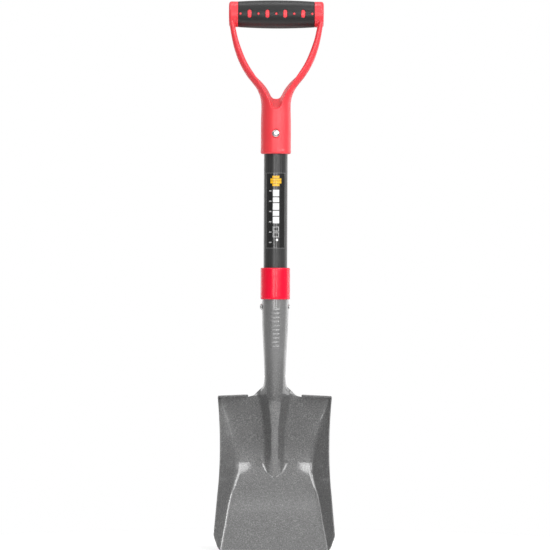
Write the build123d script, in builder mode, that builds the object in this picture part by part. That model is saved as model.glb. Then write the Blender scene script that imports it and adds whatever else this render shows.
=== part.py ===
from build123d import *
import math
import os

os.makedirs("parts", exist_ok=True)

# Compact D-handle shovel with a square mouth, standing upright.
# +Z runs up the shaft, -Y is the front (load) side of the blade, +X is to the
# right when the front is looked at.  Millimetres.  The origin is the middle of
# the cutting edge.

# ---------------------------------------------------------------- dimensions
TOTAL_LENGTH = 700.0      # cutting edge to the top of the grip
AXIS_Y = 14.0             # the shaft's axis lies this far behind the cutting edge

# blade, one pressing
SHEET = 1.7               # sheet thickness
EDGE_HALF = 69.7          # half the straight cutting edge
CORNER_HALF = 76.9        # half the widest place, above the clipped corners
CORNER_Z = 20.5           # height of the widest place
PAN_TOP = 198.2           # the pan is pressed up to here, then trimmed
WALL_SLOPE = 0.90         # side walls rise forward by this much per mm outward
TREAD_IN = 34.0           # inner end of each foot tread
TREAD_OUT = 72.4          # outer end of each foot tread
TREAD_Z_IN = 198.0        # tread height at its inner end
TREAD_Z_OUT = 196.4       # and at its outer end
TREAD_THICK = 2.0
TREAD_DEPTH = 11.5        # how far the treads stand forward of the pan

# rolled socket
SOCKET_TOP = 350.5
SOCKET_R = 16.8           # outside radius at the mouth

# socket rivet, left to right
RIVET_Z = 309.6
RIVET_SHANK_R = 2.5
RIVET_HEAD_R = 3.95
RIVET_HEAD_H = 2.8
RIVET_TAIL_R = 3.1
RIVET_TAIL_H = 2.0

# fibreglass shaft
SHAFT_R = 15.0
SHAFT_BORE_R = 11.0
SHAFT_FOOT = 292.0
SHAFT_TOP = 552.0

# collar
COLLAR_Z0 = 319.1
COLLAR_Z1 = 359.2
COLLAR_R = 18.7

# label
LABEL_Z0 = 384.0
LABEL_Z1 = 480.0
LABEL_HALF_ANGLE = 52.0
LABEL_THICK = 0.15

# grip
YOKE_FOOT = 504.3
YOKE_R = 19.0
YOKE_LIP_R = 19.25
BAR_Z = 682.0             # axis of the crossbar
BAR_END_R = 16.35         # red ends of the crossbar
ARM_TOP_R = 16.2          # round tops of the arms
BAR_CORE_R = 13.5
SLEEVE_HALF = 48.7        # half the length of the soft sleeve
SLEEVE_R_MID = 18.0
SLEEVE_R_END = 16.4
GRIP_HALF = 60.2          # half the width across the grip
GRIP_RIVET_Z = 530.0
GRIP_HEAD_R = 4.85
GRIP_HEAD_H = 3.0
SPOT_FACE_Y = 18.3        # flat seats for the rivet heads, from the shaft axis


# ------------------------------------------------------------------- helpers
def table(z, rows):
    """Smooth (monotone cubic) reading of a table of (height, value) rows."""
    n = len(rows)
    if z <= rows[0][0]:
        return rows[0][1]
    if z >= rows[-1][0]:
        return rows[-1][1]
    d = [(rows[i + 1][1] - rows[i][1]) / (rows[i + 1][0] - rows[i][0]) for i in range(n - 1)]
    m = [d[0]] + [0.0] * (n - 2) + [d[-1]]
    for i in range(1, n - 1):
        if d[i - 1] * d[i] > 0:
            h0 = rows[i][0] - rows[i - 1][0]
            h1 = rows[i + 1][0] - rows[i][0]
            w0, w1 = 2 * h1 + h0, h1 + 2 * h0
            m[i] = (w0 + w1) / (w0 / d[i - 1] + w1 / d[i])
    for i in range(n - 1):
        z0, z1 = rows[i][0], rows[i + 1][0]
        if z <= z1:
            h = z1 - z0
            t = (z - z0) / h
            return (
                (2 * t**3 - 3 * t**2 + 1) * rows[i][1]
                + (t**3 - 2 * t**2 + t) * h * m[i]
                + (-2 * t**3 + 3 * t**2) * rows[i + 1][1]
                + (t**3 - t**2) * h * m[i + 1]
            )
    return rows[-1][1]


def soft_step(u, r):
    """A ramp that starts at u = 0 with a bend of radius about r."""
    return 0.5 * (u + math.sqrt(u * u + r * r))


# Middle surface of the pan: the floor, seen from the side
FLOOR = [(-2, -0.5), (6, 1.5), (20, 5.0), (44, 11.0), (68, 17.0), (84, 20.8), (98, 23.7), (112, 25.4),
         (128, 25.8), (150, 24.5), (175, 23.0), (196, 21.7), (225, 19.9)]
# half-width of the rim, fold of the side wall, foot and crest of the frog ridge
RIM = [(-2, 79.1), (12, 77.7), (24, 76.5), (38, 75.2), (54, 73.8), (70, 72.4), (84, 71.3),
       (98, 70.4), (112, 69.9), (128, 69.7), (145, 69.9), (162, 70.5), (180, 71.5), (198.2, 72.9)]
FOLD = [(-2, 70.0), (12, 67.6), (24, 65.3), (38, 62.8), (54, 60.0), (70, 56.6), (84, 53.0),
        (96, 51.0), (106, 50.7), (118, 51.9), (137, 55.6), (153, 59.6), (170, 64.2), (186, 68.3),
        (198.2, 71.2)]
FOOT = [(-2, 6.0), (80, 6.0), (93, 6.2), (100, 7.4), (110, 9.3), (122, 10.9), (135, 11.7),
        (153, 12.9), (175, 16.0), (196, 20.0), (225, 25.5)]
CREST = [(-2, 2.0), (80, 2.0), (96, 2.2), (105, 2.6), (122, 3.3), (153, 3.7), (175, 6.0),
         (196, 9.0), (225, 10.5)]
RISE = [(-2, 0.0), (84, 0.0), (91, 0.25), (97, 1.8), (103, 3.6), (112, 6.1), (122, 8.3),
        (150, 13.2), (175, 16.9), (196, 20.0), (225, 20.0)]


def ridge(x, z):
    f, b, h = table(z, CREST), table(z, FOOT), table(z, RISE)
    k = min(1.0, (b - f) / 8.0)
    s = (soft_step(x - f, 1.6 * k) - soft_step(x - b, 2.2 * k)) / (b - f)
    return h * (1.0 - min(1.0, max(0.0, s)))


def wall(x, z):
    rim, fold = table(z, RIM), table(z, FOLD)
    r = 2.4 * min(1.0, (rim - fold) / 8.0)
    base = soft_step(-6.0, r)
    return WALL_SLOPE * max(0.0, soft_step(x - fold, r) - base)


def pan_y(x, z):
    """Middle surface of the pressed pan, right half."""
    return table(z, FLOOR) - ridge(x, z) - wall(x, z)


def offset_pair(xs, ys, t):
    """Front and back of the sheet from its middle line, right half."""
    front, back = [], []
    n = len(xs)
    for i in range(n):
        if i == 0:
            tx, ty = 1.0, 0.0
        elif i == n - 1:
            tx, ty = xs[-1] - xs[-2], ys[-1] - ys[-2]
        else:
            ax, ay = xs[i] - xs[i - 1], ys[i] - ys[i - 1]
            bx, by = xs[i + 1] - xs[i], ys[i + 1] - ys[i]
            la, lb = math.hypot(ax, ay), math.hypot(bx, by)
            tx, ty = ax / la + bx / lb, ay / la + by / lb
        ln = math.hypot(tx, ty)
        nx, ny = ty / ln, -tx / ln            # towards the front on the floor
        c = 1.0
        if 0 < i < n - 1:
            c = max(0.7, (ax * tx + ay * ty) / (la * ln))
        front.append((xs[i] + nx * t / 2 / c, ys[i] + ny * t / 2 / c))
        back.append((xs[i] - nx * t / 2 / c, ys[i] - ny * t / 2 / c))
    return front, back


def pan_curves(z):
    """Front and back curves of the pan's sheet at one height, left to right."""
    rim, fold = table(z, RIM), table(z, FOLD)
    f, b = table(z, CREST), table(z, FOOT)
    k = min(1.0, (b - f) / 8.0)
    q = min(1.0, (rim - fold) / 8.0)
    xs = [0.0, f - 1.9 * k, f - 0.5 * k, f + 0.6 * k, f + 2.0 * k, 0.5 * (f + b) - 0.3 * k,
          b - 2.6 * k, b - 0.9 * k, b + 0.8 * k, b + 3.0 * k]
    x0, x1 = xs[-1], fold - 6.0
    xs += [x0 + (x1 - x0) * t for t in (0.15, 0.5, 0.85, 1.0)]
    xs += [fold - 3.0, fold - 1.4 * q, fold, fold + 1.4 * q, fold + 3.0 * q, fold + 5.5 * q,
           0.5 * (fold + 5.5 * q + rim), rim]
    ys = [pan_y(x, z) for x in xs]
    front, back = offset_pair(xs, ys, SHEET)
    return ([(-x, y) for x, y in reversed(front[1:])] + front,
            [(-x, y) for x, y in reversed(back[1:])] + back)


def shares(rings):
    """Common curve parameters for a family of section curves."""
    total = None
    for ring in rings:
        run = [0.0]
        for p, q in zip(ring, ring[1:]):
            run.append(run[-1] + math.dist(p, q))
        run = [r / run[-1] for r in run]
        total = run if total is None else [t + r for t, r in zip(total, run)]
    return [t / len(rings) for t in total]


# Neck and socket: the ridge closes into a rolled tube with a seam at the back
NECK_R = [(196, 13.2), (210, 13.1), (221, 13.0), (233, 13.3), (243, 13.65), (253.5, 14.2),
          (263.7, 14.85), (273.9, 15.35), (284, 15.9), (294.3, 16.25), (302, 16.65),
          (308, 16.8), (360, 16.8)]
SEAM = [(196, 5.0), (221, 5.0), (250, 3.4), (290, 2.2), (360, 1.6)]     # half gap
WRAP = [(196.9, 0.0), (201, 0.28), (205, 0.56), (209, 0.78), (214, 0.93), (221, 1.0)]
NECK_ANGLES = [0.0, 20.0, 36.0, 48.0, 62.0, 82.0, 102.0, 118.0, 131.0, 144.0, 156.0]


def neck_line(z):
    """Middle line of the neck's sheet, right half, front to seam."""
    zp = min(z, 198.0)
    f, b = table(zp, CREST), table(zp, FOOT)
    px = [0.0, 0.5 * f, f - 1.0, f + 0.4, f + 2.2, 0.5 * (f + b), b - 1.9, b + 0.2, b + 2.8,
          b + 6.0, 29.5, 33.0]
    py = [pan_y(x, zp) for x in px]
    s = table(z, WRAP)
    if s <= 0.0:
        return px, py
    r = table(z, NECK_R) - SHEET / 2
    end = 180.0 - math.degrees(math.asin(table(z, SEAM) / r))
    qs = [a * end / 168.0 for a in NECK_ANGLES] + [end]
    qx = [r * math.sin(math.radians(a)) for a in qs]
    qy = [AXIS_Y - r * math.cos(math.radians(a)) for a in qs]
    xs = [(1 - s) * p + s * q for p, q in zip(px, qx)]
    ys = [(1 - s) * p + s * q for p, q in zip(py, qy)]
    return xs, ys


def neck_curves(z, t):
    xs, ys = neck_line(z)
    front, back = offset_pair(xs, ys, t)
    outer = [(-x, y) for x, y in reversed(front[1:])] + front
    inner = [(-x, y) for x, y in reversed(back[1:])] + back
    return outer, inner


# --------------------------------------------------------------------- blade
PAN_LEVELS = [-2, 6, 14, 22, 30, 38, 46, 54, 62, 70, 77, 83, 88, 91, 94, 97, 100, 104, 108, 113,
              118, 124, 130, 137, 145, 153, 161, 169, 177, 185, 192, PAN_TOP]
pan_steps = shares([pan_curves(level)[0] for level in PAN_LEVELS])
with BuildPart() as pan:
    for level in PAN_LEVELS:
        front, back = pan_curves(level)
        with BuildSketch(Plane.XY.offset(level)):
            with BuildLine():
                add(Edge.make_spline([(x, y, 0) for x, y in front], parameters=pan_steps))
                Line(front[-1], back[-1])
                add(Edge.make_spline([(x, y, 0) for x, y in back], parameters=pan_steps))
                Line(back[0], front[0])
            make_face()
    loft(ruled=True)

NECK_LEVELS = [(187, 0.9), (190, 0.9), (193.5, 0.9), (196.9, 1.0), (198.2, 1.3), (199.6, 1.6),
               (201, SHEET), (203, SHEET), (205, SHEET), (207, SHEET), (209, SHEET),
               (211.5, SHEET), (214, SHEET), (217.5, SHEET), (221, SHEET), (227, SHEET),
               (233, SHEET), (243, SHEET), (253.5, SHEET), (263.7, SHEET), (273.9, SHEET),
               (284, SHEET), (294.3, SHEET), (302, SHEET), (308, SHEET), (SOCKET_TOP, SHEET)]
neck_steps = shares([neck_curves(level, SHEET)[0] for level, thick in NECK_LEVELS])
with BuildPart() as neck:
    for level, thick in NECK_LEVELS:
        outer, inner = neck_curves(level, thick)
        with BuildSketch(Plane.XY.offset(level)):
            with BuildLine():
                add(Edge.make_spline([(x, y, 0) for x, y in outer], parameters=neck_steps))
                Line(outer[-1], inner[-1])
                add(Edge.make_spline([(x, y, 0) for x, y in inner], parameters=neck_steps))
                Line(inner[0], outer[0])
            make_face()
    loft(ruled=True)

treads = []
for side in (1, -1):
    with BuildPart() as tread:
        with BuildSketch(Plane.XZ.offset(-(21.6 + SHEET / 2))):
            with BuildLine():
                Polyline((side * TREAD_IN, TREAD_Z_IN), (side * TREAD_OUT, TREAD_Z_OUT),
                         (side * TREAD_OUT, TREAD_Z_OUT - TREAD_THICK),
                         (side * TREAD_IN, TREAD_Z_IN - TREAD_THICK), close=True)
            make_face()
        extrude(amount=TREAD_DEPTH + SHEET)
        # rounded bend at the back, rounded free corners at the front
        fillet(tread.edges().filter_by(Axis.Y, reverse=True).group_by(Axis.Y)[-1].sort_by(Axis.Z)[-1],
               radius=1.7)
        fillet(tread.edges().group_by(Axis.Y)[0].filter_by(Axis.Z), radius=4.0)
    treads.append(tread.part)

with BuildPart() as blade:
    add(pan.part)
    add(neck.part)
    # square the cutting edge and clip its corners
    with BuildSketch(Plane.XZ.offset(60)):
        with Locations((0, -10)):
            Rectangle(200, 20)
    extrude(amount=-120, mode=Mode.SUBTRACT)
    for side in (1, -1):
        with BuildSketch(Plane.XZ.offset(60)):
            with BuildLine():
                Spline((side * EDGE_HALF, 0.0), (side * 72.0, 3.2), (side * 74.7, 11.0),
                       (side * 76.3, 16.2), (side * 76.95, CORNER_Z))
                Polyline((side * 76.95, CORNER_Z), (side * 90, CORNER_Z), (side * 90, -3),
                         (side * EDGE_HALF, -3), (side * EDGE_HALF, 0.0))
            make_face()
        extrude(amount=-120, mode=Mode.SUBTRACT)
        # top rim of the pan: sloping tread line, relief notch, then the shoulder
        with BuildSketch(Plane.XZ.offset(60)):
            with BuildLine():
                Polyline((side * 80, TREAD_Z_OUT - 0.9), (side * TREAD_IN, TREAD_Z_IN - 0.6),
                         (side * 33.3, 196.2), (side * 31.2, 195.5), (side * 28.6, 196.0),
                         (side * 24.1, 199.3), (side * 21.1, 201.9), (side * 18.0, 204.4),
                         (side * 15.9, 206.4), (side * 14.6, 208.6), (side * 14.2, 212),
                         (side * 80, 212), close=True)
            make_face()
        extrude(amount=-120, mode=Mode.SUBTRACT)
    # forward-turned foot treads
    for tread_part in treads:
        add(tread_part)
    # holes for the socket rivet
    with BuildSketch(Plane.YZ.offset(-30)):
        with Locations((AXIS_Y, RIVET_Z)):
            Circle(RIVET_SHANK_R)
    extrude(amount=60, mode=Mode.SUBTRACT)
blade.part.label = "blade"
export_step(blade.part, "parts/blade.step")

# -------------------------------------------------------------- shaft, plugs
with BuildPart() as shaft_tube:
    with BuildSketch(Plane.XZ.offset(-AXIS_Y)):
        with BuildLine():
            Polyline((SHAFT_BORE_R, SHAFT_FOOT), (14.3, SHAFT_FOOT), (SHAFT_R, 306.0),
                     (SHAFT_R, SHAFT_TOP - 0.8), (SHAFT_R - 0.8, SHAFT_TOP),
                     (SHAFT_BORE_R, SHAFT_TOP), close=True)
        make_face()
    revolve(axis=Axis((0, AXIS_Y, 0), (0, 0, 1)))
    with BuildSketch(Plane.YZ.offset(-30)):
        with Locations((AXIS_Y, RIVET_Z)):
            Circle(RIVET_SHANK_R)
    extrude(amount=60, mode=Mode.SUBTRACT)
    with BuildSketch(Plane.XZ.offset(30)):
        with Locations((0, GRIP_RIVET_Z)):
            Circle(RIVET_SHANK_R)
    extrude(amount=-100, mode=Mode.SUBTRACT)
shaft_tube.part.label = "shaft_tube"
export_step(shaft_tube.part, "parts/shaft_tube.step")

with BuildPart() as socket_plug:
    with BuildSketch(Plane.XZ.offset(-AXIS_Y)):
        with BuildLine():
            Polyline((0, 243.0), (10.6, 243.0), (11.6, 244.5), (14.2, SHAFT_FOOT - 0.1),
                     (SHAFT_BORE_R - 0.05, SHAFT_FOOT - 0.1), (SHAFT_BORE_R - 0.05, 343.0),
                     (SHAFT_BORE_R - 2.0, 345.5), (0, 345.5), close=True)
        make_face()
    revolve(axis=Axis((0, AXIS_Y, 0), (0, 0, 1)))
    with BuildSketch(Plane.YZ.offset(-30)):
        with Locations((AXIS_Y, RIVET_Z)):
            Circle(RIVET_SHANK_R)
    extrude(amount=60, mode=Mode.SUBTRACT)
socket_plug.part.label = "socket_plug"
export_step(socket_plug.part, "parts/socket_plug.step")

with BuildPart() as shaft_top_plug:
    with BuildSketch(Plane.XY.offset(504.0)):
        with Locations((0, AXIS_Y)):
            Circle(SHAFT_BORE_R - 0.05)
    extrude(amount=SHAFT_TOP - 504.0)
    chamfer(shaft_top_plug.faces().sort_by(Axis.Z)[0].edges(), length=1.2)
    with BuildSketch(Plane.XZ.offset(30)):
        with Locations((0, GRIP_RIVET_Z)):
            Circle(RIVET_SHANK_R)
    extrude(amount=-100, mode=Mode.SUBTRACT)
shaft_top_plug.part.label = "shaft_top_plug"
export_step(shaft_top_plug.part, "parts/shaft_top_plug.step")

# ------------------------------------------------------------------- rivets
# factory head on the left, peened tail on the right
with BuildPart() as socket_rivet:
    with BuildSketch(Plane.XZ.offset(-AXIS_Y)):
        with BuildLine():
            seat = SOCKET_R + 0.05
            Polyline((-seat - RIVET_HEAD_H, RIVET_Z), (seat + RIVET_TAIL_H, RIVET_Z))
            Spline((seat + RIVET_TAIL_H, RIVET_Z), (seat + RIVET_TAIL_H * 0.84, RIVET_Z + 1.6),
                   (seat + RIVET_TAIL_H * 0.45, RIVET_Z + 2.7), (seat + 0.35, RIVET_Z + RIVET_TAIL_R))
            Polyline((seat + 0.35, RIVET_Z + RIVET_TAIL_R), (seat, RIVET_Z + RIVET_TAIL_R),
                     (seat, RIVET_Z + RIVET_SHANK_R), (-seat, RIVET_Z + RIVET_SHANK_R),
                     (-seat, RIVET_Z + RIVET_HEAD_R), (-seat - 0.4, RIVET_Z + RIVET_HEAD_R))
            Spline((-seat - 0.4, RIVET_Z + RIVET_HEAD_R),
                   (-seat - 0.6 * RIVET_HEAD_H, RIVET_Z + 0.83 * RIVET_HEAD_R),
                   (-seat - 0.9 * RIVET_HEAD_H, RIVET_Z + 0.48 * RIVET_HEAD_R),
                   (-seat - RIVET_HEAD_H, RIVET_Z))
        make_face()
    revolve(axis=Axis((0, AXIS_Y, RIVET_Z), (1, 0, 0)))
socket_rivet.part.label = "socket_rivet"
export_step(socket_rivet.part, "parts/socket_rivet.step")

with BuildPart() as grip_rivet:
    with BuildSketch(Plane.YZ):
        with BuildLine():
            ya, yb = AXIS_Y - SPOT_FACE_Y, AXIS_Y + SPOT_FACE_Y
            Polyline((ya - GRIP_HEAD_H, GRIP_RIVET_Z), (yb + GRIP_HEAD_H, GRIP_RIVET_Z))
            Spline((yb + GRIP_HEAD_H, GRIP_RIVET_Z),
                   (yb + 0.86 * GRIP_HEAD_H, GRIP_RIVET_Z + 0.5 * GRIP_HEAD_R),
                   (yb + 0.55 * GRIP_HEAD_H, GRIP_RIVET_Z + 0.84 * GRIP_HEAD_R),
                   (yb + 0.4, GRIP_RIVET_Z + GRIP_HEAD_R))
            Polyline((yb + 0.4, GRIP_RIVET_Z + GRIP_HEAD_R), (yb, GRIP_RIVET_Z + GRIP_HEAD_R),
                     (yb, GRIP_RIVET_Z + RIVET_SHANK_R), (ya, GRIP_RIVET_Z + RIVET_SHANK_R),
                     (ya, GRIP_RIVET_Z + GRIP_HEAD_R), (ya - 0.4, GRIP_RIVET_Z + GRIP_HEAD_R))
            Spline((ya - 0.4, GRIP_RIVET_Z + GRIP_HEAD_R),
                   (ya - 0.55 * GRIP_HEAD_H, GRIP_RIVET_Z + 0.84 * GRIP_HEAD_R),
                   (ya - 0.86 * GRIP_HEAD_H, GRIP_RIVET_Z + 0.5 * GRIP_HEAD_R),
                   (ya - GRIP_HEAD_H, GRIP_RIVET_Z))
        make_face()
    revolve(axis=Axis((0, 0, GRIP_RIVET_Z), (0, 1, 0)))
grip_rivet.part.label = "grip_rivet"
export_step(grip_rivet.part, "parts/grip_rivet.step")

# ------------------------------------------------------------ collar, label
with BuildPart() as ferrule_collar:
    with BuildSketch(Plane.XZ.offset(-AXIS_Y)):
        with BuildLine():
            Polyline((SOCKET_R + 0.05, COLLAR_Z0), (COLLAR_R, COLLAR_Z0), (COLLAR_R, COLLAR_Z1),
                     (SHAFT_R + 0.05, COLLAR_Z1), (SHAFT_R + 0.05, SOCKET_TOP + 0.3),
                     (SOCKET_R + 0.05, SOCKET_TOP + 0.3), close=True)
        make_face()
    revolve(axis=Axis((0, AXIS_Y, 0), (0, 0, 1)))
    rims = ferrule_collar.edges().filter_by(GeomType.CIRCLE)
    fillet(rims.filter_by(lambda e: abs(e.radius - COLLAR_R) < 0.01), radius=1.1)
    fillet(ferrule_collar.edges().filter_by(GeomType.CIRCLE).filter_by(
        lambda e: abs(e.radius - SHAFT_R - 0.05) < 0.01).sort_by(Axis.Z)[-1], radius=0.6)
ferrule_collar.part.label = "ferrule_collar"
export_step(ferrule_collar.part, "parts/ferrule_collar.step")

with BuildPart() as shaft_label:
    with BuildSketch(Plane.XY.offset(LABEL_Z0)):
        with Locations((0, AXIS_Y)):
            Circle(SHAFT_R + LABEL_THICK)
            Circle(SHAFT_R, mode=Mode.SUBTRACT)
        with BuildLine():
            reach = 40.0
            a = math.radians(LABEL_HALF_ANGLE)
            Polyline((0, AXIS_Y), (reach * math.sin(a), AXIS_Y - reach * math.cos(a)),
                     (0, AXIS_Y - 60), (-reach * math.sin(a), AXIS_Y - reach * math.cos(a)),
                     close=True)
        make_face(mode=Mode.INTERSECT)
    extrude(amount=LABEL_Z1 - LABEL_Z0)
shaft_label.part.label = "shaft_label"
export_step(shaft_label.part, "parts/shaft_label.step")

# --------------------------------------------------------------------- grip
# Half outline of the grip from the front, and how deep it is from the side
OUTLINE = [(540, 19.0), (552, 18.85), (560, 18.65), (566, 18.6), (572, 19.1), (576.4, 19.9), (580.3, 21.1),
           (584, 22.7), (588, 24.7), (591.7, 27.3), (595.5, 30.2), (599.4, 33.4), (603.2, 36.3),
           (607, 38.8), (610.8, 41.2), (618.5, 45.3), (626, 48.7), (633.8, 51.5), (641.4, 53.9),
           (649, 55.7), (656.7, 57.1), (664, 58.2), (672, 59.1), (682, 59.6), (690, 59.9),
           (702, 60.1)]
DEPTH = [(552, 19.0), (566, 19.0), (580, 18.8), (600, 17.8), (620, 16.8), (640, 16.5),
         (660, 16.6), (682, 17.2), (702, 17.2)]
POWER = [(552, 2.0), (566, 2.05), (580, 2.3), (600, 3.0), (620, 3.7), (650, 4.6), (672, 6.5),
         (682, 8.0), (702, 8.0)]
# Hand opening: back rim and front rim; the saddle between them is scooped
LOOP_BACK = [(0.0, 577.5), (3.6, 578.0), (6.4, 580.8), (9.2, 586.0), (13.0, 591.8), (20.0, 599.2),
             (28.6, 606.9), (36.0, 618.5), (41.4, 630.0), (45.7, 641.4), (49.3, 653.0),
             (51.8, 664.0), (54.2, 672.0), (56.0, 680.0), (56.4, 684.0)]
LOOP_FRONT = [(0.0, 561.8), (3.2, 562.5), (5.8, 565.2), (8.2, 570.0), (12.0, 577.6),
              (19.0, 590.0), (27.4, 604.6), (36.0, 618.5), (41.4, 630.0), (45.7, 641.4),
              (49.3, 653.0), (51.8, 664.0), (54.2, 672.0), (56.0, 680.0), (56.4, 684.0)]


def grip_section(z, count=40):
    w, d, p = table(z, OUTLINE), table(z, DEPTH), table(z, POWER)
    pts = []
    for i in range(count):
        a = 2 * math.pi * i / count
        c, s = math.cos(a), math.sin(a)
        x = w * math.copysign(abs(c) ** (2 / p), c)
        y = d * math.copysign(abs(s) ** (2 / p), s)
        pts.append((x, AXIS_Y + y))
    return pts


GRIP_LEVELS = (YOKE_FOOT + 2.8, 520, 536, 552, 560, 568, 576.4, 584, 591.7, 599.4, 607, 618.5, 633.8, 649, 664, 682, 702)
grip_steps = shares([grip_section(level) + grip_section(level)[:1] for level in GRIP_LEVELS])
OVALS = [(-34.1, BAR_Z), (-11.3, BAR_Z), (11.3, BAR_Z), (34.1, BAR_Z)]
DOTS = [(-45.6, BAR_Z), (-22.7, BAR_Z), (0.0, BAR_Z), (22.7, BAR_Z), (45.6, BAR_Z)]

with BuildPart() as sleeve_barrel:
    with BuildSketch(Plane.XZ.offset(-AXIS_Y)):
        with BuildLine():
            Line((-SLEEVE_HALF, BAR_Z), (SLEEVE_HALF, BAR_Z))
            Line((SLEEVE_HALF, BAR_Z), (SLEEVE_HALF, BAR_Z + SLEEVE_R_END))
            ThreePointArc((SLEEVE_HALF, BAR_Z + SLEEVE_R_END), (0, BAR_Z + SLEEVE_R_MID),
                          (-SLEEVE_HALF, BAR_Z + SLEEVE_R_END))
            Line((-SLEEVE_HALF, BAR_Z + SLEEVE_R_END), (-SLEEVE_HALF, BAR_Z))
        make_face()
    revolve(axis=Axis((0, AXIS_Y, BAR_Z), (1, 0, 0)))

# pads of the core that show through the sleeve's windows, front and back
with BuildPart() as window_pads:
    with BuildSketch(Plane.XZ.offset(30 - AXIS_Y)):
        with Locations(*OVALS):
            SlotOverall(10.2, 5.1, rotation=90)
        with Locations(*DOTS):
            Circle(1.6)
    extrude(amount=-60)
    add(sleeve_barrel.part, mode=Mode.INTERSECT)

with BuildPart() as grip_yoke:
    # trunk and arms as one envelope
    for level in GRIP_LEVELS:
        with BuildSketch(Plane.XY.offset(level)):
            with BuildLine():
                add(Edge.make_spline([(x, y, 0) for x, y in grip_section(level)],
                                     periodic=True, parameters=grip_steps))
            make_face()
    loft()
    # rolled lip around the foot
    with BuildSketch(Plane.XZ.offset(-AXIS_Y)):
        with BuildLine():
            Line((12.0, YOKE_FOOT), (YOKE_LIP_R - 2.4, YOKE_FOOT))
            RadiusArc((YOKE_LIP_R - 2.4, YOKE_FOOT), (YOKE_LIP_R, YOKE_FOOT + 2.4), -2.4)
            Polyline((YOKE_LIP_R, YOKE_FOOT + 2.4), (YOKE_LIP_R, YOKE_FOOT + 5.2),
                     (YOKE_LIP_R - 0.7, YOKE_FOOT + 5.9), (12.0, YOKE_FOOT + 5.9),
                     (12.0, YOKE_FOOT))
        make_face()
    revolve(axis=Axis((0, AXIS_Y, 0), (0, 0, 1)))
    # round the top of the arms about the crossbar
    with BuildSketch(Plane.YZ.offset(-70)):
        with BuildLine():
            Polyline((AXIS_Y - ARM_TOP_R, 600), (AXIS_Y - ARM_TOP_R - 8, 600),
                     (AXIS_Y - ARM_TOP_R - 8, BAR_Z + 40), (AXIS_Y + ARM_TOP_R + 8, BAR_Z + 40),
                     (AXIS_Y + ARM_TOP_R + 8, 600), (AXIS_Y + ARM_TOP_R, 600),
                     (AXIS_Y + ARM_TOP_R, BAR_Z))
            ThreePointArc((AXIS_Y + ARM_TOP_R, BAR_Z), (AXIS_Y, BAR_Z + ARM_TOP_R),
                          (AXIS_Y - ARM_TOP_R, BAR_Z))
            Line((AXIS_Y - ARM_TOP_R, BAR_Z), (AXIS_Y - ARM_TOP_R, 600))
        make_face()
    extrude(amount=140, mode=Mode.SUBTRACT)
    # soften the outer rims of the arms' round tops
    fillet(grip_yoke.edges().filter_by(lambda e: e.center().Z > 684 and abs(e.center().X) > 56),
           radius=2.6)
    # hand opening
    for dist, rim in ((10.0, LOOP_FRONT), (-38.0, LOOP_BACK)):
        with BuildSketch(Plane.XZ.offset(dist)):
            with BuildLine():
                Spline(*([(-x, z) for x, z in reversed(rim[1:])] + list(rim)))
                Polyline(rim[-1], (rim[-1][0], 720), (-rim[-1][0], 720), (-rim[-1][0], rim[-1][1]))
            make_face()
    loft(ruled=True, mode=Mode.SUBTRACT)
    # crossbar core with its red ends
    with BuildSketch(Plane.YZ.offset(-56)):
        with Locations((AXIS_Y, BAR_Z)):
            Circle(BAR_CORE_R)
    extrude(amount=112)
    for x0 in (-57.2, SLEEVE_HALF):
        with BuildSketch(Plane.YZ.offset(x0)):
            with Locations((AXIS_Y, BAR_Z)):
                Circle(BAR_END_R)
        extrude(amount=57.2 - SLEEVE_HALF)
    add(window_pads.part)
    # bore for the shaft, rivet hole and the flat seats of the rivet heads
    with BuildSketch(Plane.XY.offset(YOKE_FOOT - 1)):
        with Locations((0, AXIS_Y)):
            Circle(SHAFT_R + 0.05)
    extrude(amount=SHAFT_TOP + 0.1 - YOKE_FOOT + 1, mode=Mode.SUBTRACT)
    with BuildSketch(Plane.XZ.offset(30)):
        with Locations((0, GRIP_RIVET_Z)):
            Circle(RIVET_SHANK_R)
    extrude(amount=-100, mode=Mode.SUBTRACT)
    for y0, way in ((AXIS_Y - SPOT_FACE_Y, 1), (AXIS_Y + SPOT_FACE_Y, -1)):
        with BuildSketch(Plane.XZ.offset(-y0)):
            with Locations((0, GRIP_RIVET_Z)):
                Circle(GRIP_HEAD_R + 0.5)
        extrude(amount=5 * way, mode=Mode.SUBTRACT)
grip_yoke.part.label = "grip_yoke"
export_step(grip_yoke.part, "parts/grip_yoke.step")

with BuildPart() as grip_sleeve:
    add(sleeve_barrel.part)
    with BuildSketch(Plane.YZ.offset(-60)):
        with Locations((AXIS_Y, BAR_Z)):
            Circle(BAR_CORE_R)
    extrude(amount=120, mode=Mode.SUBTRACT)
    with BuildSketch(Plane.XZ.offset(30 - AXIS_Y)):
        with Locations(*OVALS):
            SlotOverall(10.2, 5.1, rotation=90)
        with Locations(*DOTS):
            Circle(1.6)
    extrude(amount=-60, mode=Mode.SUBTRACT)
grip_sleeve.part.label = "grip_sleeve"
export_step(grip_sleeve.part, "parts/grip_sleeve.step")
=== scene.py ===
import math

import bpy
import numpy as np
from mathutils import Matrix, Vector


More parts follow.
